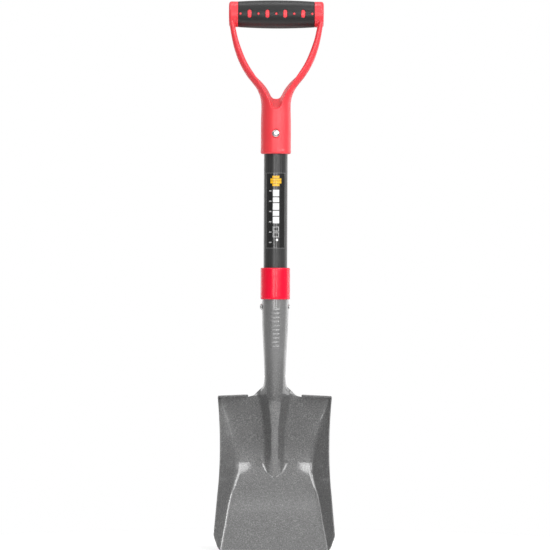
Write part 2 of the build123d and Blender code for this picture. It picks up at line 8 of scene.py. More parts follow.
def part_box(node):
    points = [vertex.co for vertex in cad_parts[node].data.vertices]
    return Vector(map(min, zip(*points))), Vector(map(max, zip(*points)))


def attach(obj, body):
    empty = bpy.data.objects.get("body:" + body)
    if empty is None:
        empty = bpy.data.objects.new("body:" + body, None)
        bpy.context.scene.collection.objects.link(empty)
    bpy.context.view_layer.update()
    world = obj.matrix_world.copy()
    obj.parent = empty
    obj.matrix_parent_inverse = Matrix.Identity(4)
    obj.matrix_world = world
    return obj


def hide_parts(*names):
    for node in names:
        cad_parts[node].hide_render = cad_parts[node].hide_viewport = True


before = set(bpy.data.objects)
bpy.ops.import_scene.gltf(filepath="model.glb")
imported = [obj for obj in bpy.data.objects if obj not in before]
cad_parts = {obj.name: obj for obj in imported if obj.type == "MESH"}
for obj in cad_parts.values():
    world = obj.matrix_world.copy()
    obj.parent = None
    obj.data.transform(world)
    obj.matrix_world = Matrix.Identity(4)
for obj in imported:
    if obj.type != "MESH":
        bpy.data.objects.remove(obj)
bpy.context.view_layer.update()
MM = 0.001


def node_box(name):
    lo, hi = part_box(name)
    return [c / MM for c in lo], [c / MM for c in hi]


# ------------------------------------------------------------ frame measures
tube_lo, tube_hi = node_box("shaft_tube")
blade_lo, blade_hi = node_box("blade")
collar_lo, collar_hi = node_box("ferrule_collar")
label_lo, label_hi = node_box("shaft_label")
yoke_lo, yoke_hi = node_box("grip_yoke")
sleeve_lo, sleeve_hi = node_box("grip_sleeve")
srivet_lo, srivet_hi = node_box("socket_rivet")
grivet_lo, grivet_hi = node_box("grip_rivet")

AXIS_Y = round((tube_lo[1] + tube_hi[1]) / 2, 2)
SHAFT_R = round((tube_hi[0] - tube_lo[0]) / 2, 2)
SHAFT_FOOT, SHAFT_TOP = round(tube_lo[2], 2), round(tube_hi[2], 2)
SOCKET_TOP = round(blade_hi[2], 2)
COLLAR_R = round((collar_hi[0] - collar_lo[0]) / 2, 2)
COLLAR_Z0, COLLAR_Z1 = round(collar_lo[2], 2), round(collar_hi[2], 2)
LABEL_Z0, LABEL_Z1 = round(label_lo[2], 2), round(label_hi[2], 2)
YOKE_FOOT = round(yoke_lo[2], 2)
SLEEVE_HALF = round((sleeve_hi[0] - sleeve_lo[0]) / 2, 2)
SLEEVE_R_MID = round((sleeve_hi[2] - sleeve_lo[2]) / 2, 2)
BAR_Z = round((sleeve_hi[2] + sleeve_lo[2]) / 2, 2)
RIVET_Z = round((srivet_lo[2] + srivet_hi[2]) / 2, 2)
GRIP_RIVET_Z = round((grivet_lo[2] + grivet_hi[2]) / 2, 2)
SLEEVE_R_END = SLEEVE_R_MID - 1.6
BAR_END_R = 16.35
BAR_END_X = round(yoke_hi[0] - 0.08, 2)
BAR_CORE_R = 13.5
SOCKET_R = 16.8
SHEET = 1.7
SPOT_FACE = 18.3
LABEL_HALF_ANGLE = math.degrees(math.asin((label_hi[0] - label_lo[0]) / 2 / (SHAFT_R + 0.15)))


# --------------------------------------------------------------- small maths
def curve(rows):
    """Monotone cubic reading of a table of (position, value) rows, for arrays."""
    xs = np.array([r[0] for r in rows], float)
    ys = np.array([r[1] for r in rows], float)
    d = np.diff(ys) / np.diff(xs)
    m = np.zeros(len(xs))
    m[0], m[-1] = d[0], d[-1]
    for i in range(1, len(xs) - 1):
        if d[i - 1] * d[i] > 0:
            h0, h1 = xs[i] - xs[i - 1], xs[i + 1] - xs[i]
            w0, w1 = 2 * h1 + h0, h1 + 2 * h0
            m[i] = (w0 + w1) / (w0 / d[i - 1] + w1 / d[i])

    def read(z):
        z = np.clip(np.asarray(z, float), xs[0], xs[-1])
        i = np.clip(np.searchsorted(xs, z) - 1, 0, len(xs) - 2)
        h = xs[i + 1] - xs[i]
        t = (z - xs[i]) / h
        return ((2 * t**3 - 3 * t**2 + 1) * ys[i] + (t**3 - 2 * t**2 + t) * h * m[i]
                + (-2 * t**3 + 3 * t**2) * ys[i + 1] + (t**3 - t**2) * h * m[i + 1])
    return read


def smooth_line(points, count):
    """A natural cubic spline through 2-D points, sampled evenly in its parameter."""
    p = np.array(points, float)
    s = np.concatenate([[0], np.cumsum(np.hypot(*(p[1:] - p[:-1]).T))])
    n = len(p)
    h = np.diff(s)
    a = np.zeros((n, n))
    b = np.zeros((n, 2))
    a[0, 0] = a[-1, -1] = 1
    for i in range(1, n - 1):
        a[i, i - 1], a[i, i], a[i, i + 1] = h[i - 1], 2 * (h[i - 1] + h[i]), h[i]
        b[i] = 6 * ((p[i + 1] - p[i]) / h[i] - (p[i] - p[i - 1]) / h[i - 1])
    m = np.linalg.solve(a, b)
    u = np.linspace(0, s[-1], count)
    i = np.clip(np.searchsorted(s, u) - 1, 0, n - 2)
    t0, t1, hh = (s[i + 1] - u)[:, None], (u - s[i])[:, None], h[i][:, None]
    return (m[i] * t0**3 + m[i + 1] * t1**3) / (6 * hh) + \
        (p[i] / hh - m[i] * hh / 6) * t0 + (p[i + 1] / hh - m[i + 1] * hh / 6) * t1


def soft_step(u, r):
    return 0.5 * (u + np.sqrt(u * u + r * r))


# -------------------------------------------------------------- mesh helpers
def make_object(name, verts, faces, materials, body="root", nodes=(), index=None,
                smooth=True):
    """verts in millimetres, faces as an (n, 4) or (n, 3) array or a list of lists."""
    me = bpy.data.meshes.new(name)
    verts = np.asarray(verts, float) * MM
    if isinstance(faces, np.ndarray):
        faces = faces.tolist()
    me.from_pydata(verts.tolist(), [], faces)
    me.update()
    for m in materials:
        me.materials.append(m)
    if index is not None:
        me.polygons.foreach_set("material_index", np.asarray(index, np.int32))
    me.polygons.foreach_set("use_smooth", np.full(len(me.polygons), smooth))
    me.update()
    ob = bpy.data.objects.new(name, me)
    bpy.context.scene.collection.objects.link(ob)
    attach(ob, body)
    if nodes:
        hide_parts(*nodes)
    return ob


def welded(parts, tol=1e-4):
    """Join (verts, faces) grids, merging vertices that fall on each other."""
    verts, faces, base = [], [], 0
    for v, f in parts:
        verts.append(v)
        faces.append(f + base)
        base += len(v)
    verts, faces = np.vstack(verts), np.vstack(faces)
    key = np.round(verts / tol).astype(np.int64)
    _, first, inverse = np.unique(key, axis=0, return_index=True, return_inverse=True)
    faces = inverse.reshape(-1)[faces]
    good = np.array([len(set(f)) == len(f) for f in faces.tolist()])
    return verts[first], faces[good]


def grid_faces(rows, cols, flip=False):
    i = np.arange(rows - 1)[:, None] * cols + np.arange(cols - 1)[None, :]
    q = np.stack([i, i + 1, i + cols + 1, i + cols], -1).reshape(-1, 4)
    return q[:, ::-1] if flip else q


def thicken(mid, faces, half, edge, power=0.6, turns=5):
    """A sheet of even thickness around a middle surface, with rounded free edges.
    Faces are wound so that their normals point to the front side."""
    a, b, c, d = (mid[faces[:, k]] for k in range(4))
    fn = np.cross(c - a, d - b)
    n = np.zeros_like(mid)
    for k in range(4):
        np.add.at(n, faces[:, k], fn)
    n /= np.linalg.norm(n, axis=1)[:, None]
    # free edges, in the direction their face runs
    e = np.concatenate([faces[:, [k, (k + 1) % 4]] for k in range(4)])
    owner = np.tile(np.arange(len(faces)), 4)
    key = np.sort(e, 1)
    _, inv, count = np.unique(key, axis=0, return_inverse=True, return_counts=True)
    free = count[inv.reshape(-1)] == 1
    e, owner = e[free], owner[free]
    fnu = fn / np.linalg.norm(fn, axis=1)[:, None]
    t = mid[e[:, 1]] - mid[e[:, 0]]
    t /= np.linalg.norm(t, axis=1)[:, None]
    out = np.cross(t, fnu[owner])
    o = np.zeros_like(mid)
    np.add.at(o, e[:, 0], out)
    np.add.at(o, e[:, 1], out)
    rim = np.unique(e)
    o[rim] -= n[rim] * np.sum(o[rim] * n[rim], 1)[:, None]
    o[rim] /= np.linalg.norm(o[rim], axis=1)[:, None]
    inner = mid.copy()
    inner[rim] -= o[rim] * edge
    front, back = inner + n * half, inner - n * half
    nv = len(mid)
    verts = [front, back]
    slot_of = np.full(nv, -1)
    slot_of[rim] = np.arange(len(rim))
    ang = np.linspace(math.pi / 2, -math.pi / 2, turns + 2)[1:-1]
    rings = []
    for q in ang:
        rings.append(2 * nv + len(rings) * len(rim))
        verts.append(inner[rim] + n[rim] * half * math.sin(q)
                     + o[rim] * edge * math.cos(q) ** power)
    out_faces = [faces, faces[:, ::-1] + nv]
    levels = [lambda v: v] + [lambda v, r=r: slot_of[v] + r for r in rings] + [lambda v: v + nv]
    for l0, l1 in zip(levels, levels[1:]):
        out_faces.append(np.stack([l0(e[:, 1]), l0(e[:, 0]), l1(e[:, 0]), l1(e[:, 1])], 1))
    return np.vstack(verts), np.vstack(out_faces)


def corner(points, radii, steps=6):
    """Round the corners of an open 2-D polyline."""
    p = [np.array(q, float) for q in points]
    out = [p[0]]
    for i in range(1, len(p) - 1):
        r = radii[i - 1]
        if r <= 0:
            out.append(p[i])
            continue
        a, b = p[i - 1] - p[i], p[i + 1] - p[i]
        a, b = a / np.linalg.norm(a), b / np.linalg.norm(b)
        half = math.acos(max(-1, min(1, float(a @ b)))) / 2
        d = r / math.tan(half)
        m = (a + b) / np.linalg.norm(a + b)
        c = p[i] + m * r / math.sin(half)
        s, e = p[i] + a * d - c, p[i] + b * d - c
        w = math.acos(max(-1, min(1, float(s @ e) / (r * r))))
        for k in range(steps + 1):
            t = k / steps
            if w < 1e-6:
                out.append(c + s)
                break
            out.append(c + (math.sin((1 - t) * w) * s + math.sin(t * w) * e) / math.sin(w))
    out.append(p[-1])
    return out


def lathe(profile, place, seg=128, closed=False):
    """Turn a (along, radius) profile about an axis; place(along, r, angle) gives the point."""
    prof = [(float(a), float(r)) for a, r in profile]
    ang = np.arange(seg) * 2 * math.pi / seg
    verts, rows = [], []
    for a, r in prof:
        if r < 1e-6:
            rows.append([len(verts)])
            verts.append(place(a, 0.0, 0.0))
        else:
            rows.append(list(range(len(verts), len(verts) + seg)))
            verts += [place(a, r, q) for q in ang]
    faces = []
    pairs = list(zip(rows, rows[1:]))
    if closed:
        pairs.append((rows[-1], rows[0]))
    for r0, r1 in pairs:
        for k in range(seg):
            j = (k + 1) % seg
            if len(r0) == 1 and len(r1) == 1:
                continue
            if len(r0) == 1:
                faces.append([r0[0], r1[j], r1[k]])
            elif len(r1) == 1:
                faces.append([r0[k], r0[j], r1[0]])
            else:
                faces.append([r0[k], r0[j], r1[j], r1[k]])
    return np.array(verts), faces


def upright(a, r, q):
    return (r * math.sin(q), AXIS_Y - r * math.cos(q), a)


# ------------------------------------------------- smooth solids from fields
def cut_round(a, b, r):
    """Intersection of two solids with its edge rounded by r."""
    u, v = np.maximum(a + r, 0), np.maximum(b + r, 0)
    return np.minimum(-r, np.maximum(a, b)) + np.sqrt(u * u + v * v)


def join_round(a, b, r):
    """Union of two solids with a fillet of r between them."""
    u, v = np.maximum(r - a, 0), np.maximum(r - b, 0)
    return np.maximum(r, np.minimum(a, b)) - np.sqrt(u * u + v * v)


def polygonise(field, lo, hi, step, passes=3, reach=0.5):
    """Closed quad mesh of field < 0, its points pulled onto the surface."""
    ax = [np.arange(l, h + step, step) for l, h in zip(lo, hi)]
    shape = tuple(len(a) for a in ax)
    f = np.empty(shape, np.float32)
    for i in range(0, shape[0], 24):
        x, y, z = np.meshgrid(ax[0][i:i + 24], ax[1], ax[2], indexing="ij")
        f[i:i + 24] = field(x, y, z)
    neg = f < 0
    cells = tuple(n - 1 for n in shape)
    total = {}
    acc_ids, acc_pos, quads = [], [], []
    for axis in range(3):
        a = [slice(None)] * 3
        b = [slice(None)] * 3
        a[axis], b[axis] = slice(0, -1), slice(1, None)
        change = neg[tuple(a)] != neg[tuple(b)]
        ids = np.stack(np.nonzero(change), 1)
        p0 = tuple(ids.T)
        nxt = ids.copy()
        nxt[:, axis] += 1
        f0, f1 = f[p0], f[tuple(nxt.T)]
        t = (f0 / (f0 - f1)).astype(float)
        pos = np.stack([ax[k][ids[:, k]] for k in range(3)], 1).astype(float)
        pos[:, axis] += t * step
        u, v = [k for k in range(3) if k != axis]
        ok = (ids[:, u] > 0) & (ids[:, v] > 0) & (ids[:, u] < shape[u] - 1) & (ids[:, v] < shape[v] - 1)
        ids, pos, f0 = ids[ok], pos[ok], f0[ok]
        ring = []
        for du, dv in ((-1, -1), (0, -1), (0, 0), (-1, 0)):
            c = ids.copy()
            c[:, u] += du
            c[:, v] += dv
            flat = (c[:, 0] * cells[1] + c[:, 1]) * cells[2] + c[:, 2]
            ring.append(flat)
            acc_ids.append(flat)
            acc_pos.append(pos)
        q = np.stack(ring, 1)
        turn = (f0 < 0) if axis != 1 else (f0 >= 0)
        q[~turn] = q[~turn][:, ::-1]
        quads.append(q)
    acc_ids = np.concatenate(acc_ids)
    acc_pos = np.concatenate(acc_pos)
    quads = np.concatenate(quads)
    used, inverse = np.unique(acc_ids, return_inverse=True)
    count = np.bincount(inverse, minlength=len(used)).astype(float)
    verts = np.stack([np.bincount(inverse, acc_pos[:, k], len(used)) / count for k in range(3)], 1)
    faces = np.searchsorted(used, quads)
    h = 0.04
    for _ in range(passes):
        x, y, z = verts.T
        g = np.stack([field(x + h, y, z) - field(x - h, y, z),
                      field(x, y + h, z) - field(x, y - h, z),
                      field(x, y, z + h) - field(x, y, z - h)], 1) / (2 * h)
        s = field(x, y, z) / np.maximum(np.sum(g * g, 1), 0.05)
        move = -g * s[:, None]
        size = np.linalg.norm(move, axis=1)
        move *= np.minimum(1, reach * step / np.maximum(size, 1e-9))[:, None]
        verts = verts + move
    return verts, faces


def relax(verts, faces, turns):
    """Even out a closed quad mesh without shrinking it (alternating in and out steps)."""
    e = np.concatenate([faces[:, [k, (k + 1) % 4]] for k in range(4)])
    n = len(verts)
    count = np.bincount(e[:, 0], minlength=n).astype(float)[:, None]
    for _ in range(turns):
        for w in (0.5, -0.53):
            mean = np.stack([np.bincount(e[:, 0], verts[e[:, 1], k], n) for k in range(3)], 1) / count
            verts = verts + w * (mean - verts)
    return verts


# ----------------------------------------------------------- material helpers
def material(name):
    m = bpy.data.materials.new(name)
    m.use_nodes = True
    nt = m.node_tree
    nt.nodes.clear()
    out = nt.nodes.new("ShaderNodeOutputMaterial")
    bs = nt.nodes.new("ShaderNodeBsdfPrincipled")
    nt.links.new(bs.outputs[0], out.inputs["Surface"])
    return m, nt, bs


def put(nt, kind, outputs=0, attrs=None, **inputs):
    """Add a node, set or link its inputs, and return the wanted output."""
    n = nt.nodes.new(kind)
    for k, v in (attrs or {}).items():
        setattr(n, k, v)
    for k, v in inputs.items():
        key = int(k[1:]) if k[0] == "i" and k[1:].isdigit() else k.replace("_", " ")
        socket = n.inputs[key]
        if isinstance(v, bpy.types.NodeSocket):
            nt.links.new(v, socket)
        else:
            socket.default_value = v
    return n.outputs[outputs]


def link(nt, a, b):
    nt.links.new(a, b)


def coords(nt, scale=(1000, 1000, 1000)):
    """Object coordinates in millimetres, times a per-axis factor."""
    tc = nt.nodes.new("ShaderNodeTexCoord")
    mp = nt.nodes.new("ShaderNodeMapping")
    mp.inputs["Scale"].default_value = scale
    nt.links.new(tc.outputs["Object"], mp.inputs["Vector"])
    return mp.outputs[0]


def ramp(nt, value, stops, interpolation="LINEAR"):
    n = nt.nodes.new("ShaderNodeValToRGB")
    n.color_ramp.interpolation = interpolation
    els = n.color_ramp.elements
    while len(els) > 1:
        els.remove(els[0])
    els[0].position = stops[0][0]
    els[0].color = (*stops[0][1], 1) if len(stops[0][1]) == 3 else stops[0][1]
    for p, c in stops[1:]:
        e = els.new(p)
        e.color = (*c, 1) if len(c) == 3 else c
    nt.links.new(value, n.inputs[0])
    return n.outputs[0]


def math_node(nt, op, a, b=None, c=None, clamp=False):
    n = nt.nodes.new("ShaderNodeMath")
    n.operation = op
    n.use_clamp = clamp
    for i, v in enumerate((a, b, c)):
        if v is None:
            continue
        if isinstance(v, bpy.types.NodeSocket):
            nt.links.new(v, n.inputs[i])
        else:
            n.inputs[i].default_value = v
    return n.outputs[0]


def remap(nt, v, f0, f1, t0, t1):
    n = nt.nodes.new("ShaderNodeMapRange")
    nt.links.new(v, n.inputs[0])
    for i, x in enumerate((f0, f1, t0, t1)):
        n.inputs[1 + i].default_value = x
    return n.outputs[0]


def mix_color(nt, fac, a, b, mode="MIX"):
    n = nt.nodes.new("ShaderNodeMix")
    n.data_type = "RGBA"
    n.blend_type = mode
    if isinstance(fac, bpy.types.NodeSocket):
        nt.links.new(fac, n.inputs[0])
    else:
        n.inputs[0].default_value = fac
    for sock, v in ((n.inputs[6], a), (n.inputs[7], b)):
        if isinstance(v, bpy.types.NodeSocket):
            nt.links.new(v, sock)
        else:
            sock.default_value = (*v, 1) if len(v) == 3 else v
    return n.outputs[2]


def bump(nt, height, strength, distance_mm, normal=None):
    n = nt.nodes.new("ShaderNodeBump")
    n.inputs["Strength"].default_value = strength
    n.inputs["Distance"].default_value = distance_mm * MM
    nt.links.new(height, n.inputs["Height"])
    if normal is not None:
        nt.links.new(normal, n.inputs["Normal"])
    return n.outputs[0]


def noise(nt, vec, scale, detail=2.0, rough=0.5, out=0):
    return put(nt, "ShaderNodeTexNoise", out, Vector=vec, Scale=scale, Detail=detail, Roughness=rough)


def srgb(r, g, b):
    def f(c):
        c /= 255
        return c / 12.92 if c <= 0.04045 else ((c + 0.055) / 1.055) ** 2.4
    return (f(r), f(g), f(b))


def grey(v):
    return srgb(v, v, v)


# ------------------------------------------------------------------ materials
def blade_coat():
    m, nt, bs = material("blade_hammer_coat")
    v = coords(nt)
    fine = noise(nt, v, 1.1, 3.0, 0.62)
    grain = noise(nt, v, 0.78, 2.0, 0.6)
    cloud = noise(nt, v, 0.045, 3.0, 0.55)
    cells = put(nt, "ShaderNodeTexVoronoi", 0, Vector=v, Scale=0.62, Randomness=1.0)
    base = ramp(nt, grain, [(0.30, grey(68)), (0.45, grey(90)), (0.55, grey(103)), (0.70, grey(140))])
    base = mix_color(nt, remap(nt, fine, 0.35, 0.65, 0.0, 0.35), base, grey(122))
    base = mix_color(nt, remap(nt, cloud, 0.35, 0.7, 0.0, 0.25), base, grey(92))
    # the coat is thinner, and a little brighter, on edges that rub
    geo = nt.nodes.new("ShaderNodeNewGeometry")
    wear = remap(nt, geo.outputs["Pointiness"], 0.52, 0.57, 0.0, 1.0)
    spots = remap(nt, noise(nt, v, 0.5, 4.0, 0.7), 0.50, 0.64, 0.0, 0.5)
    worn = math_node(nt, "MULTIPLY", wear, spots, clamp=True)
    base = mix_color(nt, worn, base, grey(165))
    # painted light and shade, a brightness fit rather than a property of the coat: a painted lighter socket
    # and painted shade low on the pan
    height = put(nt, "ShaderNodeSeparateXYZ", "Z", Vector=v)
    base = mix_color(nt, remap(nt, height, 190.0, 250.0, 0.0, 0.50), base, grey(152))
    base = mix_color(nt, remap(nt, height, 105.0, 70.0, 0.0, 0.16), base, grey(60))
    link(nt, base, bs.inputs["Base Color"])
    bs.inputs["Metallic"].default_value = 0.30
    rough = remap(nt, fine, 0.3, 0.7, 0.34, 0.44)
    link(nt, rough, bs.inputs["Roughness"])
    bs.inputs["Coat Weight"].default_value = 1.0
    bs.inputs["Coat IOR"].default_value = 1.6
    bs.inputs["Coat Roughness"].default_value = 0.065
    n1 = bump(nt, cells, 0.30, 0.14)
    n2 = bump(nt, grain, 0.45, 0.16, n1)
    link(nt, n2, bs.inputs["Normal"])
    link(nt, bump(nt, grain, 0.14, 0.12), bs.inputs["Coat Normal"])
    return m


def red_polypropylene():
    m, nt, bs = material("grip_red_polypropylene")
    v = coords(nt)
    fine = noise(nt, v, 2.2, 3.0, 0.6)
    flow = noise(nt, coords(nt, (60, 60, 25)), 1.0, 2.0, 0.5)
    base = mix_color(nt, remap(nt, flow, 0.3, 0.7, 0.0, 1.0), srgb(249, 62, 72), srgb(252, 70, 79))
    base = mix_color(nt, remap(nt, fine, 0.35, 0.65, 0.0, 0.25), base, srgb(242, 52, 66))
    link(nt, base, bs.inputs["Base Color"])
    link(nt, remap(nt, fine, 0.3, 0.7, 0.32, 0.41), bs.inputs["Roughness"])
    bs.inputs["IOR"].default_value = 1.56
    bs.inputs["Subsurface Weight"].default_value = 0.12
    bs.inputs["Subsurface Radius"].default_value = (1.0, 0.25, 0.2)
    bs.inputs["Subsurface Scale"].default_value = 0.0015
    spark = put(nt, "ShaderNodeTexVoronoi", 0, Vector=v, Scale=1.7, Randomness=1.0)
    n1 = bump(nt, spark, 0.05, 0.05)
    link(nt, bump(nt, fine, 0.07, 0.05, n1), bs.inputs["Normal"])
    return m


def collar_gloss():
    m, nt, bs = material("collar_gloss_red")
    v = coords(nt)
    swirl = noise(nt, coords(nt, (30, 30, 6)), 1.0, 2.0, 0.5)
    fine = noise(nt, v, 0.9, 2.0, 0.5)
    base = mix_color(nt, remap(nt, swirl, 0.3, 0.7, 0.0, 1.0), srgb(248, 6, 48), srgb(251, 12, 58))
    link(nt, base, bs.inputs["Base Color"])
    link(nt, remap(nt, fine, 0.3, 0.7, 0.20, 0.28), bs.inputs["Roughness"])
    bs.inputs["Coat Weight"].default_value = 0.15
    bs.inputs["Coat Roughness"].default_value = 0.12
    bs.inputs["Subsurface Weight"].default_value = 0.08
    bs.inputs["Subsurface Radius"].default_value = (1.0, 0.2, 0.2)
    bs.inputs["Subsurface Scale"].default_value = 0.001
    link(nt, bump(nt, fine, 0.10, 0.05), bs.inputs["Normal"])
    return m


def shaft_satin():
    m, nt, bs = material("shaft_fibreglass_satin")
    v = coords(nt)
    streak = noise(nt, coords(nt, (1500, 1500, 30)), 1.0, 3.0, 0.6)
    fine = noise(nt, v, 2.4, 2.0, 0.5)
    base = ramp(nt, streak, [(0.3, grey(44)), (0.52, grey(52)), (0.72, grey(62))])
    base = mix_color(nt, remap(nt, fine, 0.4, 0.7, 0.0, 0.25), base, grey(78))
    link(nt, base, bs.inputs["Base Color"])
    link(nt, remap(nt, streak, 0.3, 0.7, 0.25, 0.33), bs.inputs["Roughness"])
    n1 = bump(nt, streak, 0.20, 0.03)
    link(nt, bump(nt, fine, 0.14, 0.03, n1), bs.inputs["Normal"])
    return m


def label_film(name, color, spread, gloss=0.16):
    m, nt, bs = material(name)
    v = coords(nt)
    n = noise(nt, v, 0.7, 3.0, 0.6)
    c0 = tuple(c * (1 - spread) for c in color)
    c1 = tuple(min(1, c * (1 + spread)) for c in color)
    link(nt, mix_color(nt, n, c0, c1), bs.inputs["Base Color"])
    link(nt, remap(nt, n, 0.3, 0.7, gloss, gloss + 0.08), bs.inputs["Roughness"])
    bs.inputs["Coat Weight"].default_value = 0.3
    bs.inputs["Coat Roughness"].default_value = 0.1
    ripple = noise(nt, coords(nt, (120, 120, 40)), 1.0, 2.0, 0.5)
    link(nt, bump(nt, ripple, 0.10, 0.06), bs.inputs["Normal"])
    return m


def rubber_black():
    m, nt, bs = material("grip_rubber_black")
    v = coords(nt)
    fine = noise(nt, v, 1.9, 3.0, 0.65)
    cells = put(nt, "ShaderNodeTexVoronoi", 0, Vector=v, Scale=1.25, Randomness=1.0)
    base = ramp(nt, fine, [(0.3, grey(24)), (0.6, grey(36)), (0.8, grey(52))])
    link(nt, base, bs.inputs["Base Color"])
    link(nt, remap(nt, fine, 0.3, 0.7, 0.33, 0.46), bs.inputs["Roughness"])
    bs.inputs["Sheen Weight"].default_value = 0.06
    n1 = bump(nt, cells, 0.35, 0.10)
    link(nt, bump(nt, fine, 0.35, 0.08, n1), bs.inputs["Normal"])
    return m


def rivet_zinc():
    m, nt, bs = material("rivet_zinc")
    v = coords(nt)
    n = noise(nt, v, 1.1, 4.0, 0.6)
    base = ramp(nt, n, [(0.3, grey(196)), (0.55, grey(222)), (0.8, grey(236))])
    link(nt, base, bs.inputs["Base Color"])
    bs.inputs["Metallic"].default_value = 1.0
    link(nt, remap(nt, n, 0.3, 0.7, 0.20, 0.34), bs.inputs["Roughness"])
    link(nt, bump(nt, n, 0.12, 0.06), bs.inputs["Normal"])
    return m


def ash_wood():
    m, nt, bs = material("plug_ash_wood")
    rings = put(nt, "ShaderNodeTexWave", 0, {"wave_type": "RINGS", "rings_direction": "Z"},
                Vector=coords(nt, (1000, 1000, 60)), Scale=0.35, Distortion=3.0, Detail=3.0)
    fibre = noise(nt, coords(nt, (2500, 2500, 90)), 1.0, 4.0, 0.7)
    base = mix_color(nt, rings, srgb(206, 170, 122), srgb(176, 134, 86))
    base = mix_color(nt, remap(nt, fibre, 0.4, 0.7, 0.0, 0.5), base, srgb(150, 108, 66))
    link(nt, base, bs.inputs["Base Color"])
    link(nt, remap(nt, fibre, 0.3, 0.7, 0.5, 0.75), bs.inputs["Roughness"])
    link(nt, bump(nt, fibre, 0.3, 0.1), bs.inputs["Normal"])
    return m


BLADE = blade_coat()
RED = red_polypropylene()
COLLAR = collar_gloss()
SHAFT = shaft_satin()
RUBBER = rubber_black()
ZINC = rivet_zinc()
WOOD = ash_wood()
FILM = label_film("label_black_film", grey(38), 0.15)
FRAME_LINE = label_film("label_frame_grey", grey(120), 0.10, 0.3)
WHITE_INK = label_film("label_white_ink", grey(238), 0.02, 0.3)
PALE_INK = label_film("label_pale_ink", grey(190), 0.04, 0.3)
AMBER_INK = label_film("label_amber_ink", srgb(250, 190, 0), 0.04, 0.3)

for name, mat in (("blade", BLADE), ("shaft_tube", SHAFT), ("socket_plug", WOOD),
                  ("shaft_top_plug", WOOD), ("socket_rivet", ZINC), ("grip_rivet", ZINC),
                  ("ferrule_collar", COLLAR), ("shaft_label", FILM), ("grip_yoke", RED),
                  ("grip_sleeve", RUBBER)):
    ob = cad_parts[name]
    for s in ob.material_slots:
        s.material = mat

# ---------------------------------------------------------------------- blade
FLOOR = curve([(-2, -0.5), (6, 1.5), (20, 5.0), (44, 11.0), (68, 17.0), (84, 20.8), (98, 23.7),
               (112, 25.4), (128, 25.8), (150, 24.5), (175, 23.0), (196, 21.7), (225, 19.9)])
RIM = curve([(-2, 79.1), (12, 77.7), (24, 76.5), (38, 75.2), (54, 73.8), (70, 72.4), (84, 71.0),
             (98, 70.1), (112, 69.55), (128, 69.35), (145, 69.55), (162, 70.2), (180, 71.3),
             (198.2, 72.9)])
FOLD = curve([(-2, 70.0), (12, 67.6), (24, 65.3), (38, 62.8), (54, 60.0), (70, 56.6), (84, 53.0),
              (96, 51.0), (106, 50.7), (118, 51.9), (137, 55.6), (153, 59.6), (170, 64.2),
              (186, 68.3), (198.2, 71.2)])
FOOT = curve([(-2, 3.4), (88, 3.4), (93, 3.6), (95.5, 4.7), (98, 6.2), (102, 8.0), (108, 9.7),
              (115, 10.8), (124, 11.5), (135, 12.1),
              (153, 12.9), (175, 16.0), (196, 20.0), (225, 25.5)])
CREST = curve([(-2, 1.2), (90, 1.2), (96, 1.6), (105, 2.4), (122, 3.3), (153, 3.7), (175, 6.0),
               (196, 9.0), (225, 10.5)])
RISE = curve([(-2, 0.0), (89, 0.0), (92.5, 0.15), (94.5, 0.75), (97, 2.0), (103, 4.2), (112, 6.5),
              (122, 8.6),
              (150, 13.2), (175, 16.9), (196, 20.0), (225, 20.0)])
EDGE = curve([(0, 69.0), (3.2, 71.4), (11, 74.3), (16.2, 76.1), (20.5, 76.85), (24, 76.5)])
NECK_R = curve([(196, 13.3), (210, 13.3), (221, 13.35), (233, 13.75), (243, 14.1), (253.5, 14.65),
                (263.7, 15.25), (273.9, 15.75), (284, 16.25), (294.3, 16.5), (302, 16.72),
                (308, 16.8), (360, 16.8)])
SEAM = curve([(196, 5.0), (221, 5.0), (250, 3.4), (290, 2.2), (360, 1.6)])
WRAP = curve([(193, 0.0), (195.5, 0.02), (198, 0.10), (201, 0.26), (205, 0.53), (209, 0.77),
              (214, 0.93), (221, 1.0), (240, 1.0)])
NECK_ANGLES = [0.0, 20.0, 36.0, 48.0, 62.0, 82.0, 102.0, 118.0, 131.0, 144.0, 156.0, 168.0]
SHOULDER = curve([(195.5, 31.2), (196.0, 28.6), (199.3, 24.1), (201.9, 21.1), (204.4, 18.0),
                  (206.4, 15.9), (208.6, 14.6), (212, 14.2), (216, 14.0)])
FOLD_R = curve([(-2, 2.2), (84, 2.2), (98, 2.3), (112, 2.6), (124, 4.2), (145, 6.5), (198, 6.0)])
CROWN = curve([(-2, 0.0), (110, 0.0), (140, 0.012), (170, 0.036), (196, 0.066), (225, 0.075)])
FOOT_R = curve([(-2, 4.6), (90, 4.6), (108, 4.4), (125, 2.8), (150, 2.2), (225, 2.2)])
DISH = curve([(-2, 0.0), (70, 0.0), (86, 0.5), (95, 1.4), (105, 2.3), (113, 2.45), (122, 2.36),
              (128, 2.15), (134, 1.8), (142, 1.25), (152, 0.65), (165, 0.2), (185, 0.0), (198, 0.0)])
WALL_SLOPE = 0.90


def pan_y(x, z):
    """Middle surface of the pressed pan, right half."""
    f, b, h = CREST(z), FOOT(z), RISE(z)
    k = np.minimum(1.0, (b - f) / 8.0)
    s = (soft_step(x - f, 1.6 * k) - soft_step(x - b, FOOT_R(z) * k)) / (b - f)
    crown = CROWN(z) * np.minimum(x, f + 1.5) ** 2 / 2
    ridge = (h - crown) * (1.0 - np.clip(s, 0, 1))
    fold = FOLD(z)
    r = FOLD_R(z) * np.minimum(1.0, (RIM(z) - fold) / 8.0)
    wall = WALL_SLOPE * np.maximum(0.0, soft_step(x - fold, r) - soft_step(-FOLD_R(z) * 2.5, r))
    dish = DISH(z) * np.clip(x / 51.0, 0, 1.2) ** 2.2
    return FLOOR(z) - ridge - wall - dish


